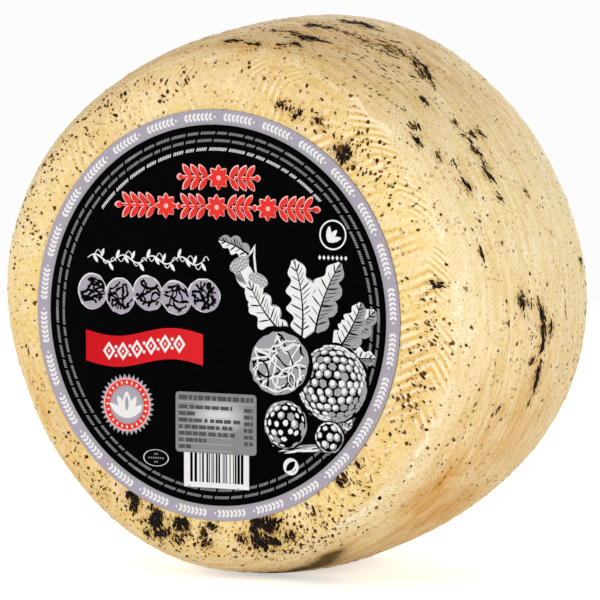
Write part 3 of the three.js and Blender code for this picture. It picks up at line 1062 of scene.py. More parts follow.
    tree.links.new(ramp(tree, cloud(5), 0.3, 0.7, 0.48, 0.62), shader.inputs["Roughness"])
    height = maths("ADD", maths("MULTIPLY", cloud(1.4, 4.0), 0.6), maths("MULTIPLY", fibre, 0.25))
    height = maths("ADD", height, maths("MULTIPLY", wave, 0.15))
    add_bump(tree, shader, height, 0.8, 0.2 * MM)
    shader.inputs["IOR"].default_value = 1.45
    shader.inputs["Subsurface Weight"].default_value = 0.12
    shader.inputs["Subsurface Radius"].default_value = (1.0, 0.6, 0.3)
    shader.inputs["Subsurface Scale"].default_value = 2 * MM
    return material


wheel = finish_piece(wheel_mesh, "cheese_rind", rind_material())
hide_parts("cheese_wheel")

# %% [markdown]
# ## Truffle
# Black truffle is brown-black with a dull, slightly waxy cut. Thin crumbs look browner than
# thick pieces, because the curd shows through. Each piece brings its thinness as an attribute,
# and a noise makes it uneven.

# %% Material: black truffle


def truffle_material():
    material, tree, shader = new_material("black_truffle", 0.7, 0.1)
    grain = soft_noise(tree, object_place(tree), 1.6 * MM, 4.0)
    thin = add_node(tree, "ShaderNodeAttribute", attribute_name="thin").outputs["Fac"]
    uneven = add_node(tree, "ShaderNodeMath", {0: thin, 1: grain}, operation="ADD").outputs[0]
    base = mix(tree, ramp(tree, uneven, 0.8, 1.7), colour("#150d08"), colour("#6f431a"))
    tree.links.new(base, shader.inputs["Base Color"])
    add_bump(tree, shader, grain, 0.6, 0.1 * MM)
    return material


black_truffle = truffle_material()
for kind, mesh in truffle_meshes.items():
    piece = finish_piece(mesh, f"truffle_{kind}", black_truffle, smooth=False)
    thin = piece.data.attributes.new("thin", "FLOAT", "POINT")
    thin.data.foreach_set("value", thinness[kind])

# %% [markdown]
# ## Printing without an image
# The label is coated paper, printed in black, lilac, grey, red and white. The print could be a
# picture, but small flat shapes keep a sharp edge from any distance. Everything is drawn flat in
# millimetres from the label's middle, x to the right and y up, each shape in a small mesh that
# is then copied into the sheet of its ink.

# %% Drawing with ink
INK = 0.02  # mm, far more than real ink, so that the layers stay apart
LAYER = 0.04  # mm from one overprint to the next
shape_count = itertools.count()


def film_height(layer):
    """A height in mm, a little different for each shape, so that no two that overlap lie level."""
    return layer * LAYER + next(shape_count) % 9 * 0.002


def print_shape(ink, shape, x, y, wide, high, turn, layer):
    """Stretches a shape of unit size, puts it on the label and copies it into its ink."""
    moved = Matrix.Translation((x, y, film_height(layer)))
    turned = Matrix.Rotation(turn, 4, "Z")
    place = moved @ turned @ Matrix.Diagonal((wide, high, 1, 1))
    bmesh.ops.transform(shape, matrix=place, verts=shape.verts[:])
    move_into(ink, shape)


def spot(ink, x, y, wide, high=None, turn=0.0, layer=0, sides=16, ragged=0.0):
    """A filled circle or ellipse. Ragged moves its corners in and out by a share of its size."""
    shape = bmesh.new()
    made = bmesh.ops.create_circle(shape, cap_ends=True, segments=sides, radius=0.5)["verts"]
    for corner in made:
        corner.co *= 1 + random.uniform(-ragged, ragged)
    print_shape(ink, shape, x, y, wide, high or wide, turn, layer)


def petal(ink, x, y, length, width, turn, layer=0, sides=10):
    """A leaf shape that starts at x, y and comes to a point at both ends."""
    shape = bmesh.new()
    made = bmesh.ops.create_circle(shape, cap_ends=True, segments=sides, radius=0.5)["verts"]
    for corner in made:
        corner.co.x, corner.co.y = corner.co.y + 0.5, -corner.co.x * abs(2 * corner.co.x) ** 0.5
    print_shape(ink, shape, x, y, length, width, turn, layer)


def bar(ink, x, y, wide, high, turn=0.0, layer=0):
    """A filled rectangle."""
    shape = bmesh.new()
    bmesh.ops.create_grid(shape, x_segments=1, y_segments=1, size=0.5)
    print_shape(ink, shape, x, y, wide, high, turn, layer)


def hoop(ink, x, y, outer, inner, layer=0, sides=48, high=1.0, tooth=0.0):
    """A round outline, given by its outer and inner radius. Tooth cuts its rim into points."""
    shape = bmesh.new()
    rim = bmesh.ops.create_circle(shape, segments=sides, radius=outer)["verts"]
    for corner in rim[::2]:
        corner.co *= 1 - tooth
    bmesh.ops.create_circle(shape, segments=sides, radius=inner)
    bmesh.ops.bridge_loops(shape, edges=shape.edges[:])
    print_shape(ink, shape, x, y, 1, high, 0, layer)


def sideways(points, amounts):
    """The same line of points, each moved to its left by its own amount."""
    moved = []
    for i, point in enumerate(points):
        before, after = points[max(i - 1, 0)], points[min(i + 1, len(points) - 1)]
        along = (Vector(after) - Vector(before)).normalized()
        moved.append((point[0] - along.y * amounts[i], point[1] + along.x * amounts[i]))
    return moved


def ribbon(ink, points, widths, layer=0):
    """A strip along a line of points, with a width at each. It starts as a row of squares."""
    shape = bmesh.new()
    last = len(points) - 1
    made = bmesh.ops.create_grid(shape, x_segments=last, y_segments=1, size=0.5)["verts"]
    left = sideways(points, [width / 2 for width in widths])
    right = sideways(points, [-width / 2 for width in widths])
    height = film_height(layer)
    for corner in made:
        i = round((corner.co.x + 0.5) * last)
        side = left if corner.co.y > 0 else right
        corner.co = (*side[i], height)
    move_into(ink, shape)


def stroke(ink, start, end, width, layer=0, bow=0.0):
    """An engraver's stroke: thick in the middle, thin at its ends, and bowed to its left."""
    run = Vector(end) - Vector(start)
    middle = [(start[0] + run.x * t, start[1] + run.y * t) for t in (0, 0.3, 0.7, 1)]
    widths = [width * 0.3, width, width, width * 0.3]
    ribbon(ink, sideways(middle, [0, bow, bow, 0]), widths, layer)


def repeat_round(ink, times):
    """Repeats all that is drawn so far round the label's middle."""
    geometry = ink.verts[:] + ink.edges[:] + ink.faces[:]
    settings = {"cent": (0, 0, 0), "axis": (0, 0, 1), "angle": 2 * math.pi * (1 - 1 / times)}
    bmesh.ops.spin(ink, geom=geometry, steps=times - 1, use_duplicate=True, **settings)


# %% Start a sheet for each ink
LABEL_FRONT = label_low.y
inks = {name: bmesh.new() for name in ("lilac", "red", "pink", "white", "grey", "black")}


def printed(ink, name, material, front=LABEL_FRONT):
    """Gives a sheet of ink its thickness and lays it on the paper."""
    made = bmesh.ops.extrude_face_region(ink, geom=ink.faces[:], use_keep_orig=True)["geom"]
    risen = [item for item in made if isinstance(item, bmesh.types.BMVert)]
    bmesh.ops.translate(ink, verts=risen, vec=(0, 0, INK))
    bmesh.ops.recalc_face_normals(ink, faces=ink.faces[:])
    place = Matrix.Translation((label_middle.x, front, label_middle.z))
    place = place @ Matrix.Rotation(math.pi / 2, 4, "X") @ Matrix.Diagonal((MM, MM, MM, 1))
    bmesh.ops.transform(ink, matrix=place, verts=ink.verts[:])
    finish_piece(ink, name, material, smooth=False)


# %% [markdown]
# ## The label's border
# A lilac band runs round the rim with a garland in white: sprigs of small leaves, with a dot
# between them. One sprig is drawn and spun round the label. Inside the band lie fine rows of
# twisted cord, cut into lengths: even ticks that all lean one way.

# %% Border and fine rows
BAND_OUTER = LABEL_RADIUS / MM - 0.05
BAND_INNER = 64.4
SPRIGS = 28
LEAVES_A_SPRIG = 7
GARLAND_RADIUS = 67.0
CORD_RADII = (61.6, 59.1)
CORD_REPEATS = 6


def on_circle(radius, turn):
    return radius * math.cos(turn), radius * math.sin(turn)


hoop(inks["lilac"], 0, 0, BAND_OUTER, BAND_INNER, sides=180)
hoop(inks["grey"], 0, 0, BAND_INNER + 0.75, BAND_INNER + 0.1, layer=1, sides=180)

garland = bmesh.new()
sprig_turn = 2 * math.pi / SPRIGS
for leaf in range(LEAVES_A_SPRIG):
    turn = sprig_turn * (0.15 + leaf * 0.104)
    for side in (-1, 1):
        x, y = on_circle(GARLAND_RADIUS - side * 0.1, turn)
        petal(garland, x, y, 1.9, 1.05, turn - math.pi / 2 + side * 0.85, layer=1, sides=8)
spot(garland, *on_circle(GARLAND_RADIUS, 0), 0.85, layer=1, sides=8)
repeat_round(garland, SPRIGS)
move_into(inks["white"], garland)


def fine_row(ink, radius, height, start, end, pitch=0.62, width=0.27):
    """A twisted cord round an arc, cut into lengths. Turns in degrees."""
    turn = math.radians(start)
    while turn < math.radians(end):
        for _ in range(random.randint(4, 11)):
            x, y = on_circle(radius, turn)
            bar(ink, x, y, height, width, turn - 0.5, layer=1)
            turn += pitch / radius
        turn += pitch * 1.2 / radius


fine = bmesh.new()
for radius in CORD_RADII:
    fine_row(fine, radius, 1.05, 0, 59)
repeat_round(fine, CORD_REPEATS)
move_into(inks["grey"], fine)
fine_row(inks["white"], 56.2, 1.2, 45, 138, pitch=0.68, width=0.32)

# %% [markdown]
# ## Ornaments
# The upper half has plain ornaments: two red laurel friezes with a pale edge, a thin vine,
# slices of truffle, and a waving red banner. A frieze grows out of its middle flower to both
# sides. It is drawn twice, first in pink and a little larger, then in red, so that the pink
# shows as a thin light edge.

# %% Laurel friezes
FRIEZES = [  # left, right, height, its flowers and its branches from the middle out, all in mm
    (-14.1, 17.2, 46.5, (0,), ((4.3, 15.6),)),
    (-38.3, 39.8, 36.6, (-19.5, 0, 19.5), ((4.3, 15.2), (23.8, 39.0))),
]
LAUREL_LEAF = 5.0
LAUREL_PITCH = 3.1
PETALS = 8


def flower(ink, x, y, grow, layer):
    """Petals round a point."""
    for i in range(PETALS):
        petal(ink, x, y, 4.1 + grow / 2, 2.0 + grow, i * 2 * math.pi / PETALS, layer, sides=14)


def laurel(ink, start, end, y, grow, layer):
    """A branch from start to end, with leaves in pairs and one at its tip."""
    ahead = 0.0 if end > start else math.pi
    step = math.copysign(LAUREL_PITCH, end - start)
    bar(ink, (start + end) / 2, y, abs(end - start) - 4 + grow, 0.6 + grow, 0, layer)
    x = start
    while abs(end - x) > LAUREL_LEAF * 0.8:
        for lean in (-0.92, 0.92):
            petal(ink, x, y, LAUREL_LEAF + grow, 1.9 + grow, ahead + lean, layer, sides=14)
        x += step
    petal(ink, x, y, abs(end - x) + grow, 1.9 + grow, ahead, layer, sides=14)


for left, right, y, flowers, branches in FRIEZES:
    middle = (left + right) / 2
    for sheet, grow, shift, layer in (("pink", 0.5, 0.14, 0.5), ("red", 0.0, 0.0, 1)):
        for away in flowers:
            flower(inks[sheet], middle + away - shift, y + shift, grow, layer)
        for start, end in branches:
            for way in (-1, 1):
                near, far = middle + way * start - shift, middle + way * end - shift
                laurel(inks[sheet], near, far, y + shift, grow, layer)
    for away in flowers:
        spot(inks["pink"], middle + away, y, 1.7, layer=2, sides=12)

# %% A thin vine
VINE_LEFT, VINE_HEIGHT = -49.5, 18.2
VINE_STEP = 0.75
VINE_POINTS = 62
CURL_POINTS = 5

vine = []
for t in range(VINE_POINTS):
    vine.append((VINE_LEFT + t * VINE_STEP, VINE_HEIGHT + 1.3 * math.sin(t * 0.42)))
ribbon(inks["white"], vine, [0.25 + 0.3 * abs(math.sin(t * 0.21)) for t in range(VINE_POINTS)], 1)
for i, t in enumerate(range(3, VINE_POINTS - 2, 4)):
    side = 1 if i % 2 else -1
    petal(inks["white"], *vine[t], 3.3, 1.25, side * 1.1 + 0.1, 1)
    x, y = vine[t + 1]
    curl = [(x + 1.1 * k * 0.5, y - side * (0.3 + 0.32 * k * (4 - k))) for k in range(CURL_POINTS)]
    ribbon(inks["white"], curl, [0.3] * CURL_POINTS, 1)

# %% Truffle slices in a row
SLICES = 5
SLICE_LEFT, SLICE_HEIGHT = -47.6, 6.0
SLICE_PITCH = 10.9
SLICE_RADIUS = 5.4
LONGEST_VEIN = 14  # points


def slice_veins(ink, x, y, radius, count, width, layer):
    """Pale or dark veins that wander across a slice of truffle."""
    for _ in range(count):
        turn = random.uniform(0, 2 * math.pi)
        heading = turn + math.pi + random.uniform(-0.9, 0.9)
        place = Vector(on_circle(radius * 0.92, turn))
        line = []
        while place.length < radius * 0.95 and len(line) < LONGEST_VEIN:
            line.append((x + place.x, y + place.y))
            heading += random.uniform(-0.75, 0.75)
            place = place + Vector(on_circle(radius * 0.16, heading))
        if len(line) > 2:
            widths = [width * random.uniform(0.5, 1.3) for _ in line]
            ribbon(ink, line, widths, layer)


for i in range(SLICES):
    x, y = SLICE_LEFT + i * SLICE_PITCH, SLICE_HEIGHT + 0.6 * (-1) ** i
    wide, high = 2 * SLICE_RADIUS, 2.24 * SLICE_RADIUS
    rough = {"sides": 22, "ragged": 0.025}
    spot(inks["white"], x - 0.1, y + 0.15, wide + 0.5, high + 0.5, 0.3 * i, 1, **rough)
    spot(inks["lilac"], x, y, wide, high, 0.3 * i, 2, **rough)
    slice_veins(inks["black"], x, y, SLICE_RADIUS * 0.98, 11, 0.85, 3)

# %% Banner
BANNER_LEFT, BANNER_RIGHT = -50.3, -4.6
BANNER_MIDDLE = -11.8
BANNER_TALL = 10.6
BANNER_SQUARES = 32  # that its length is cut into
DIAMONDS = 6
DIAMOND_START, DIAMOND_STEP = 0.2, 0.12  # as shares of the banner's length
banner = bmesh.new()


def on_banner(share):
    """A point on the banner's middle line, which waves once from its left to its right end."""
    wave = -1.75 * math.sin(2 * math.pi * share)
    return BANNER_LEFT + (BANNER_RIGHT - BANNER_LEFT) * share, BANNER_MIDDLE + wave


def upright_strip(ink, points, high, layer):
    """A strip of one height all along, cut upright at both ends."""
    shape = bmesh.new()
    last = len(points) - 1
    made = bmesh.ops.create_grid(shape, x_segments=last, y_segments=1, size=0.5)["verts"]
    for corner in made:
        x, y = points[round((corner.co.x + 0.5) * last)]
        corner.co = (x, y + corner.co.y * high, layer * LAYER)
    move_into(ink, shape)


banner_line = [on_banner(i / BANNER_SQUARES) for i in range(BANNER_SQUARES + 1)]
upright_strip(banner, banner_line, BANNER_TALL, 1)
for i in range(DIAMONDS):
    x, y = on_banner(DIAMOND_START + DIAMOND_STEP * i)
    spot(inks["white"], x, y, 4.8, 6.4, 0, 2, sides=4)
    spot(banner, x, y, 2.5, 3.5, 0, 3, sides=4)
    spot(inks["white"], x, y, 0.9, 1.3, 0, 4, sides=4)
    if i < DIAMONDS - 1:
        x, y = on_banner(DIAMOND_START + DIAMOND_STEP * (i + 0.5))
        for side in (-1, 1):
            spot(inks["white"], x, y + 1.5 * side, 1.2, layer=2, sides=8)

# %% [markdown]
# ## Seal, marks and bars
# A toothed seal, an oval, a ring mark and a code of bars fill the lower part. The seal's teeth
# are the corners of a circle, every second one pulled in. The bars' widths are drawn at random.

# %% Seal and small marks
SEAL = (-34.2, -31.6)
SEAL_LEAVES = 24
SEAL_RINGS = (("red", 8.7, 6.4, 2), ("pink", 9.0, 8.65, 2), ("grey", 6.6, 5.9, 3))
hoop(inks["lilac"], *SEAL, 10.6, 8.2, 1, sides=70, tooth=0.15)
for ink, outer, inner, layer in SEAL_RINGS:
    hoop(inks[ink], *SEAL, outer, inner, layer)
spot(inks["lilac"], *SEAL, 12.4, layer=2.4, sides=36)
for i in range(SEAL_LEAVES):
    turn = i * 2 * math.pi / SEAL_LEAVES
    x, y = on_circle(6.95, turn)
    petal(inks["white"], SEAL[0] + x, SEAL[1] + y, 1.3, 0.75, turn, 3, sides=6)
for lean in (-0.95, -0.45, 0.45, 0.95):
    petal(inks["white"], SEAL[0], SEAL[1] - 4.6, 8.4, 2.6, math.pi / 2 + lean, 3)
petal(inks["white"], SEAL[0], SEAL[1] - 3.0, 7.6, 3.2, math.pi / 2, 3.6)
petal(inks["grey"], SEAL[0], SEAL[1] - 2.2, 5.2, 1.4, math.pi / 2, 4.4)

OVAL = (-22.9, -49.3)
hoop(inks["white"], *OVAL, 4.95, 4.65, 1, sides=36, high=0.58)
for row, count in ((1.35, 2), (0.0, 7), (-1.35, 2)):
    for k in range(count):
        x = OVAL[0] + (k - (count - 1) / 2) * 0.9
        spot(inks["grey"], x, OVAL[1] + row, 0.62, 0.75, layer=1, sides=4)

LEAF_MARK = (44.6, 28.5)
hoop(inks["white"], *LEAF_MARK, 5.05, 4.5, 1)
for lean in (-0.6, 0, 0.6):
    petal(inks["white"], LEAF_MARK[0] - 1.9, LEAF_MARK[1] - 2.2, 5.2, 1.9, 0.85 + lean, 1)
DIAMOND_ROW = (39.7, 20.9)
for k in range(7):
    spot(inks["white"], DIAMOND_ROW[0] + k * 1.62, DIAMOND_ROW[1], 1.15, 1.7, 0, 1, sides=4)

DOT_MARK = (28.9, -49.6)
spot(inks["white"], *DOT_MARK, 5.8, layer=1, sides=28)
petal(inks["black"], DOT_MARK[0] - 1.7, DOT_MARK[1] - 1.5, 4.6, 2.4, 0.8, 2)

# %% Bars
BARS_LEFT, BARS_RIGHT, BARS_LOW, BARS_HIGH = -12.0, 13.0, -58.4, -46.6
BAR_WIDTHS = (0.33, 0.33, 0.66, 0.99)  # of a bar, and of a gap
middle = (BARS_LOW + BARS_HIGH) / 2
bar(inks["white"], 0.5, middle, BARS_RIGHT - BARS_LEFT, BARS_HIGH - BARS_LOW, 0, 1)
x = BARS_LEFT + 2.4
while x < BARS_RIGHT - 1.6:
    width = random.choice(BAR_WIDTHS)
    bar(inks["black"], x + width / 2, middle + 1.0, width, BARS_HIGH - BARS_LOW - 1.6, 0, 2)
    x += width + random.choice(BAR_WIDTHS)
print("border, ornaments and marks are drawn")

# %% [markdown]
# ## A still life in the engraver's way
# The right half of the label is an engraving in white on black: oak leaves, acorns and
# truffles, the tree and its fungus. An engraver has no grey, only strokes that swell and thin
# out. Each form here is a light shape, a grey side in shade, and black strokes over both.

# %% Oak leaves


def oak_leaf(x, y, length, width, turn, bend, layer, lobes=4):
    """One leaf from its stalk's end: waving sides, a grey half, ribs and hatching."""
    count = 8 * lobes + 1
    spine = [Vector((x, y))]
    for i in range(1, count):
        heading = turn + bend * (i / count - 0.5)
        spine.append(spine[-1] + Vector(on_circle(length / count, heading)))
    widths = []
    for i in range(count):
        share = i / (count - 1)
        body = math.sin(math.pi * min(0.06 + share**0.85 * 0.9, 1.0)) ** 0.7
        widths.append(width * body * (0.8 - 0.2 * math.cos(2 * math.pi * lobes * share)))
    ribbon(inks["white"], spine, widths, layer)
    shaded = sideways(spine, [-w / 4 for w in widths])
    ribbon(inks["grey"], shaded, [w / 2 for w in widths], layer + 0.3)
    ribbon(inks["black"], spine, [0.75 - 0.5 * i / count for i in range(count)], layer + 0.6)
    for i in range(3, count - 3, 2):
        ahead = min(i + 3, count - 1)
        rib = i % 8 == 3
        for side in (-1, 1):
            if not rib and side == 1 and i % 4 == 1:
                continue
            reach = sideways(spine, [side * w * (0.44 if rib else 0.36) for w in widths])[ahead]
            stroke(inks["black"], spine[i], reach, 0.5 if rib else 0.28, layer + 0.6)


LEAVES = [  # where the stalk ends, length, width, turn in degrees, bend
    (33, -6, 27, 12.5, 97, 0.5),
    (38, -4, 26, 12.5, 68, -0.4),
    (45, -8, 20, 11, 38, 0.3),
    (27, -6, 24, 11, 128, -0.5),
    (46, -14, 15, 9, 8, -0.3),
    (47, -9, 18, 10, 62, 0.4),
    (44, -30, 9.5, 8, -32, 0.4),
    (40, -38, 8, 7, -60, -0.3),
]
for i, (x, y, length, width, turn, bend) in enumerate(LEAVES):
    oak_leaf(x, y, length, width, math.radians(turn), bend, 1 + i % 2)

# %% Acorns


def acorn(x, y, size, turn, layer):
    """A nut with a light side, in a cup of small scales."""
    along = Vector(on_circle(1, turn))
    nut = Vector((x, y)) + along * size * 0.42
    spot(inks["white"], *nut, size, size * 0.72, turn, layer, sides=20)
    tip = nut + along * size * 0.42
    petal(inks["white"], *tip, size * 0.25, size * 0.12, turn, layer)
    side = Vector((-along.y, along.x))
    for k in range(5):
        start = nut - along * size * 0.3 - side * size * (0.1 + 0.055 * k)
        end = nut + along * size * (0.36 - 0.06 * k) - side * size * (0.07 + 0.05 * k)
        stroke(inks["black"], start, end, 0.3, layer + 0.6, bow=-0.25)
    cup = Vector((x, y)) - along * size * 0.02
    spot(inks["grey"], *cup, size * 0.5, size * 0.86, turn, layer + 0.7, sides=20)
    for k in range(-3, 4):
        for j in (-1, 0, 1):
            scale = cup + side * size * 0.105 * k + along * size * (0.13 * j + 0.03 * (k % 2))
            spot(inks["white"], *scale, 0.75, 0.5, turn, layer + 0.9, sides=6)


acorn(9.5, 17.5, 9.5, math.radians(-62), 1)
acorn(16.5, 12.5, 9.0, math.radians(-112), 1)
oak_leaf(13, 21, 13, 7, math.radians(158), 0.5, 1, lobes=3)
stroke(inks["white"], (9.3, 18), (15.5, 24.5), 0.8, 1, bow=-0.6)
stroke(inks["white"], (16.4, 13), (15.3, 24), 0.8, 1, bow=0.6)

# %% Truffles
BALL_RINGS = [  # ink, how much wider than the ball, how high, how ragged
    ("black", 1.0, 0, 0.03),
    ("grey", 0, 0.2, 0.035),
    ("black", -0.7, 0.4, 0.035),
]


def whole_truffle(x, y, radius, layer, pitch=3.1):
    """A dark ball covered with low, angled warts that look smaller towards its edge."""
    for ink, more, lift, ragged in BALL_RINGS:
        spot(inks[ink], x, y, 2 * radius + more, layer=layer + lift, sides=36, ragged=ragged)
    half = int(radius / pitch) + 2
    for row in range(-half, half + 1):
        for column in range(-half, half + 1):
            flat = Vector((column + 0.5 * (row % 2), row * 0.87)) * pitch
            flat += Vector((random.uniform(-0.14, 0.14), random.uniform(-0.14, 0.14))) * pitch
            bulge = flat.length / radius
            if bulge > 1.32:
                continue
            away = Vector(flat).normalized() * radius * math.sin(min(bulge, 1.3) * 1.15) * 0.96
            turn = math.atan2(flat.y, flat.x)
            deep = max(math.cos(bulge * 1.15), 0.3)
            wart = Vector((x, y)) + away
            size = pitch * random.uniform(0.95, 1.06)
            spot(inks["grey"], *wart, size * deep, size, turn, layer + 0.6, sides=6, ragged=0.1)
            if math.cos(turn + math.pi / 4) * bulge < 0.75:
                lit = wart + Vector((-0.1, 0.1)) * size * deep
                wide, high = size * deep * 0.68, size * 0.7
                spot(inks["white"], *lit, wide, high, turn, layer + 0.8, sides=6, ragged=0.14)


def cut_truffle(x, y, radius, layer):
    """A halved one: a dark rim, a grey face, and white veins that wander through it."""
    spot(inks["black"], x, y, 2 * radius + 1.2, None, 0, layer, sides=36, ragged=0.025)
    spot(inks["white"], x, y, 2 * radius, 1.9 * radius, 0.4, layer + 0.2, sides=36, ragged=0.03)
    spot(inks["grey"], x, y, 1.86 * radius, 1.76 * radius, 0.4, layer + 0.4, sides=36, ragged=0.03)
    slice_veins(inks["black"], x, y, radius * 0.9, 9, 0.8, layer + 0.6)
    slice_veins(inks["white"], x, y, radius * 0.92, 13, 0.7, layer + 0.8)


whole_truffle(44.5, -21, 13.2, 3)
cut_truffle(24.5, -15, 12.0, 5)
whole_truffle(27, -35.5, 8.0, 7)
whole_truffle(43.5, -39, 5.2, 9)

# %% Ground strokes
GROUND_STROKES = 70
GROUND_LEFT, GROUND_WIDE = 20, 27
GROUND_TOP, GROUND_DEEP = -42.5, 10.5
GROUND_REACH = 61  # from the label's middle
MARK_CLEAR = 4.4  # kept free round the dot mark
for k in range(GROUND_STROKES):
    x = GROUND_LEFT + GROUND_WIDE * random.random()
    y = GROUND_TOP - GROUND_DEEP * (k / GROUND_STROKES) + random.uniform(-0.5, 0.5)
    reach = random.uniform(4, 11)
    clear = min(math.hypot(x + reach * t - DOT_MARK[0], y - DOT_MARK[1]) for t in (0, 0.5, 1))
    if math.hypot(x + reach, y) < GROUND_REACH and clear > MARK_CLEAR:
        ink = inks["white"] if k % 3 else inks["grey"]
        stroke(ink, (x, y), (x + reach, y + random.uniform(0.6, 1.6)), random.uniform(0.3, 0.7), 1)
print("the still life is drawn")

# %% [markdown]
# ## Paper and ink
# Coated paper takes ink in a thin, even film. It keeps a little of the paper's grain, so each
# ink varies by a few hundredths, and the surface is smooth but not a mirror. The photograph
# shows the black without any reflection, so the specular level is low.

# %% Material: printed paper
PAPER_GRAIN = 0.6 * MM


def printed_paper(name, ink_colour, worn_colour, right_colour=None):
    """Ink on coated paper. With a right colour, it goes from left to right across the banner."""
    material, tree, shader = new_material(name, 0.5, 0.01)
    place = object_place(tree)
    grain = soft_noise(tree, place, PAPER_GRAIN)
    ink = mix(tree, ramp(tree, grain, 0.4, 0.75), colour(ink_colour), colour(worn_colour))
    if right_colour:
        across = add_node(tree, "ShaderNodeSeparateXYZ", {0: place}).outputs[0]
        edges = [label_middle.x + end * MM for end in (BANNER_LEFT, BANNER_RIGHT)]
        ink = mix(tree, ramp(tree, across, *edges), ink, colour(right_colour))
    tree.links.new(ink, shader.inputs["Base Color"])
    add_bump(tree, shader, grain, 0.15, 0.02 * MM)
    return material


# %% Lay the inks on the label
PRINTS = [  # ink, piece, slot, colour, the colour where it is thin
    ("lilac", "lilac_print", "label_lilac", "#a79eac", "#afa7b3"),
    ("pink", "pink_edge_print", "label_red", "#f0b4ac", "#f4c4bd"),
    ("red", "red_print", "label_red", "#e2302a", "#e6453e"),
    ("white", "white_print", "label_white", "#ebe9e8", "#dddbdb"),
    ("grey", "grey_print", "label_grey", "#a3a2a4", "#949395"),
    ("black", "black_print", "label_black", "#020203", "#060608"),
]
for ink, piece, slot, full, thin in PRINTS:
    printed(inks[ink], piece, printed_paper(f"{ink}_ink_on_paper", full, thin))
banner_ink = printed_paper("banner_ink_on_paper", "#c6151f", "#ca1a23", "#da262a")
printed(banner, "banner_print", banner_ink)


def refinish(node, material):
    """Gives a node of the solid model a better material. Its mesh stays as it is."""
    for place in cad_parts[node].material_slots:
        place.material = material


refinish("face_label", printed_paper("black_coated_paper", "#020203", "#060608"))

# %% [markdown]
# ## The small sticker
# A grey film sticker with rows of dashes lies on the label. The film catches the light near its
# middle, which the photograph shows as a soft pale patch.

# %% Sticker
sticker_low, sticker_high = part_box("grey_sticker")
sticker_middle = (sticker_low + sticker_high) / 2
STICKER_X = (sticker_middle.x - label_middle.x) / MM
STICKER_Y = (sticker_middle.z - label_middle.z) / MM
ROWS = (6, -8, 9, 6, 7, -4, -10)  # where each row ends, in mm from the sticker's middle
ROW_LEFT = -14.3
ROW_TOP, ROW_PITCH = 5.2, 2.25
GLEAM_RIGHT, GLEAM_UP = 1 * MM, 2.5 * MM  # off the middle
GLEAM_WIDE, GLEAM_TALL = 11 * MM, 6 * MM
dark_rows = bmesh.new()
light_rows = bmesh.new()


def sticker_row(ink, y, left, right, tall, gap=0.0):
    """A row of dashes on the sticker, in mm from its middle."""
    x = left
    while x < right:
        wide = min(random.uniform(1.2, 3.6), right + 0.4 - x)
        bar(ink, STICKER_X + x + wide / 2, STICKER_Y + y, wide, tall, 0, 0)
        x += wide + random.uniform(0.3, 0.5) + gap * (random.random() < 0.3)


sticker_row(dark_rows, 8.4, ROW_LEFT, 14.0, 1.6)
bar(light_rows, STICKER_X, STICKER_Y + 6.9, 29.0, 0.25)
for row, right in enumerate(ROWS):
    y = ROW_TOP - row * ROW_PITCH
    sticker_row(dark_rows, y, ROW_LEFT, right, 1.3, gap=0.5)
    if row < len(ROWS) - 1:
        sticker_row(dark_rows, y - 0.4, 10.8, 13.8, 1.3)
    bar(light_rows, STICKER_X - 4, STICKER_Y + y - 1.1, 20.5, 0.2)


def sticker_film():
    material, tree, shader = new_material("grey_printed_film", 0.35, 0.15)
    place = object_place(tree)
    # the pale patch near the middle is a painted highlight in the film's colour
    middle = (-sticker_middle.x - GLEAM_RIGHT, -sticker_middle.y, -sticker_middle.z - GLEAM_UP)
    moved = add_node(tree, "ShaderNodeVectorMath", {0: place, 1: middle}).outputs[0]
    squeezed = {0: moved, 1: (1 / GLEAM_WIDE, 0, 1 / GLEAM_TALL)}
    scaled = add_node(tree, "ShaderNodeVectorMath", squeezed, operation="MULTIPLY").outputs[0]
    away = add_node(tree, "ShaderNodeVectorMath", {0: scaled}, operation="LENGTH").outputs["Value"]
    film = mix(tree, ramp(tree, away, 1.1, 0.3), colour("#858585"), colour("#cfcfcf"))
    film = mix(tree, 0.12, film, soft_noise(tree, place, 0.7 * MM), "OVERLAY")
    tree.links.new(film, shader.inputs["Base Color"])
    return material


refinish("grey_sticker", sticker_film())
dark_film = printed_paper("dark_ink_on_film", "#4b4b4c", "#616162")
light_film = printed_paper("light_ink_on_film", "#b4b4b4", "#a5a5a5")
printed(dark_rows, "sticker_dark_rows", dark_film, sticker_low.y)
printed(light_rows, "sticker_light_rows", light_film, sticker_low.y)

# %% [markdown]
# ## The table, the light and the camera
# The photograph is a packshot: a white table, soft even light, and a long lens at about the
# height of the wheel.

# %% Camera
CAMERA_TURN = math.radians(27.53)
CAMERA_RISE = math.radians(4.33)
CAMERA_DISTANCE = 1.5  # metres
CAMERA_SLIDE = (0.09 * MM, -1.02 * MM)  # to the right and up
SENSOR = 36  # mm wide
FOCAL_SHARE = 4303.6 / 600  # the focal length in picture widths

back_way = Vector(
    (
        math.sin(CAMERA_TURN) * math.cos(CAMERA_RISE),
        -math.cos(CAMERA_TURN) * math.cos(CAMERA_RISE),
        math.sin(CAMERA_RISE),
    )
)
right_way = Vector((math.cos(CAMERA_TURN), math.sin(CAMERA_TURN), 0))
up_way = back_way.cross(right_way)
camera_data = bpy.data.cameras.new("camera")
camera_data.sensor_width = SENSOR
camera_data.lens = SENSOR * FOCAL_SHARE
camera_data.clip_start = 0.05
camera = add_object("camera", camera_data)
wheel_centre = Vector((AXIS_X, MIDDLE_Y, AXIS_Z))
camera.location = wheel_centre + back_way * CAMERA_DISTANCE
camera.location += right_way * CAMERA_SLIDE[0] + up_way * CAMERA_SLIDE[1]
camera.rotation_mode = "QUATERNION"
camera.rotation_quaternion = (-back_way).to_track_quat("-Z", "Y")
bpy.context.scene.camera = camera
print(f"lens {camera_data.lens:.0f} mm")

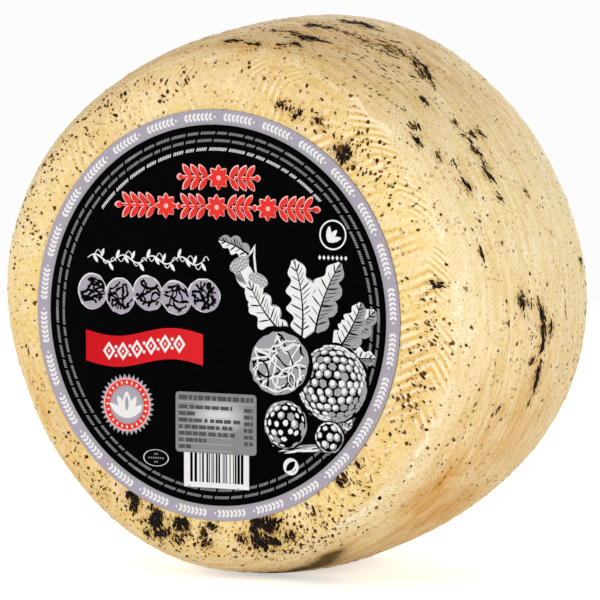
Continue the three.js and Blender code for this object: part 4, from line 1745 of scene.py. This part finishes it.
# %% [markdown]
# The table is white and runs on to the horizon, where the room is just as white. What the
# camera sees of both is kept apart from the light that they give: a Light Path node tells a ray
# that comes straight from the camera, and only such a ray finds the extra glow. So the picture
# has a white ground, and the underside of the wheel still falls into shade.

# %% Table and light
TABLE_RADIUS = 40  # metres
TABLE_NEAR, TABLE_FAR = 0.35, 1.3  # metres from the wheel between which the glow takes over
WHITE_GROUND = 0.97
ROOM_LIGHT = 0.39
TABLE_GLOW = (0.5, 0.08)  # what the camera sees, and what lights the wheel
WHITE = (1, 1, 1, 1)


def add_glow(tree, seen, given):
    """A strength that is one value for the camera's own rays and another for all light."""
    direct = add_node(tree, "ShaderNodeLightPath").outputs["Is Camera Ray"]
    return ramp(tree, direct, 0.0, 1.0, given, seen)


table_mesh = bmesh.new()
bmesh.ops.create_circle(table_mesh, cap_ends=True, segments=64, radius=TABLE_RADIUS)
table_data = bpy.data.meshes.new("white_table")
table_mesh.to_mesh(table_data)
table_mesh.free()
table = add_object("white_table", table_data)
table_material, tree, shader = new_material("white_table_top", 0.9, 0.05)
shader.inputs["Base Color"].default_value = colour("#f6f6f6")
shader.inputs["Emission Color"].default_value = WHITE
tree.links.new(add_glow(tree, *TABLE_GLOW), shader.inputs["Emission Strength"])
white_glow = {"Strength": add_glow(tree, WHITE_GROUND, ROOM_LIGHT)}
far_white = add_node(tree, "ShaderNodeEmission", white_glow)
distance = add_node(tree, "ShaderNodeVectorMath", {0: object_place(tree)}, operation="LENGTH")
away = distance.outputs["Value"]
farness = ramp(tree, away, TABLE_NEAR, TABLE_FAR, interpolation_type="SMOOTHSTEP")
sockets = {0: farness, 1: shader.outputs[0], 2: far_white.outputs[0]}
blended = add_node(tree, "ShaderNodeMixShader", sockets)
tree.links.new(blended.outputs[0], tree.nodes["Material Output"].inputs["Surface"])
table_data.materials.append(table_material)


def soft_light(name, place, size, watts):
    """A square lamp that faces the wheel."""
    data = bpy.data.lights.new(name, "AREA")
    data.size = size
    data.energy = watts
    lamp = add_object(name, data)
    lamp.location = place
    lamp.rotation_mode = "QUATERNION"
    lamp.rotation_quaternion = (wheel_centre - Vector(place)).to_track_quat("-Z", "Y")


LIGHTS = [  # name, place and size in metres, watts
    ("right_light", (1.6, -0.7, 0.38), 1.2, 20.5),
    ("left_light", (-1.3, -1.2, 0.6), 1.2, 16),
    ("low_light", (0.5, -1.4, 0.12), 1.0, 3),
    ("back_light", (-0.5, 1.7, 0.6), 1.2, 14),
]
for light in LIGHTS:
    soft_light(*light)
world = bpy.data.worlds.new("white_room")
bpy.context.scene.world = world
world.use_nodes = True
room = world.node_tree.nodes["Background"]
room.inputs["Color"].default_value = WHITE
seen_white = add_glow(world.node_tree, WHITE_GROUND, ROOM_LIGHT)
world.node_tree.links.new(seen_white, room.inputs["Strength"])
bpy.context.scene.view_settings.view_transform = "Standard"
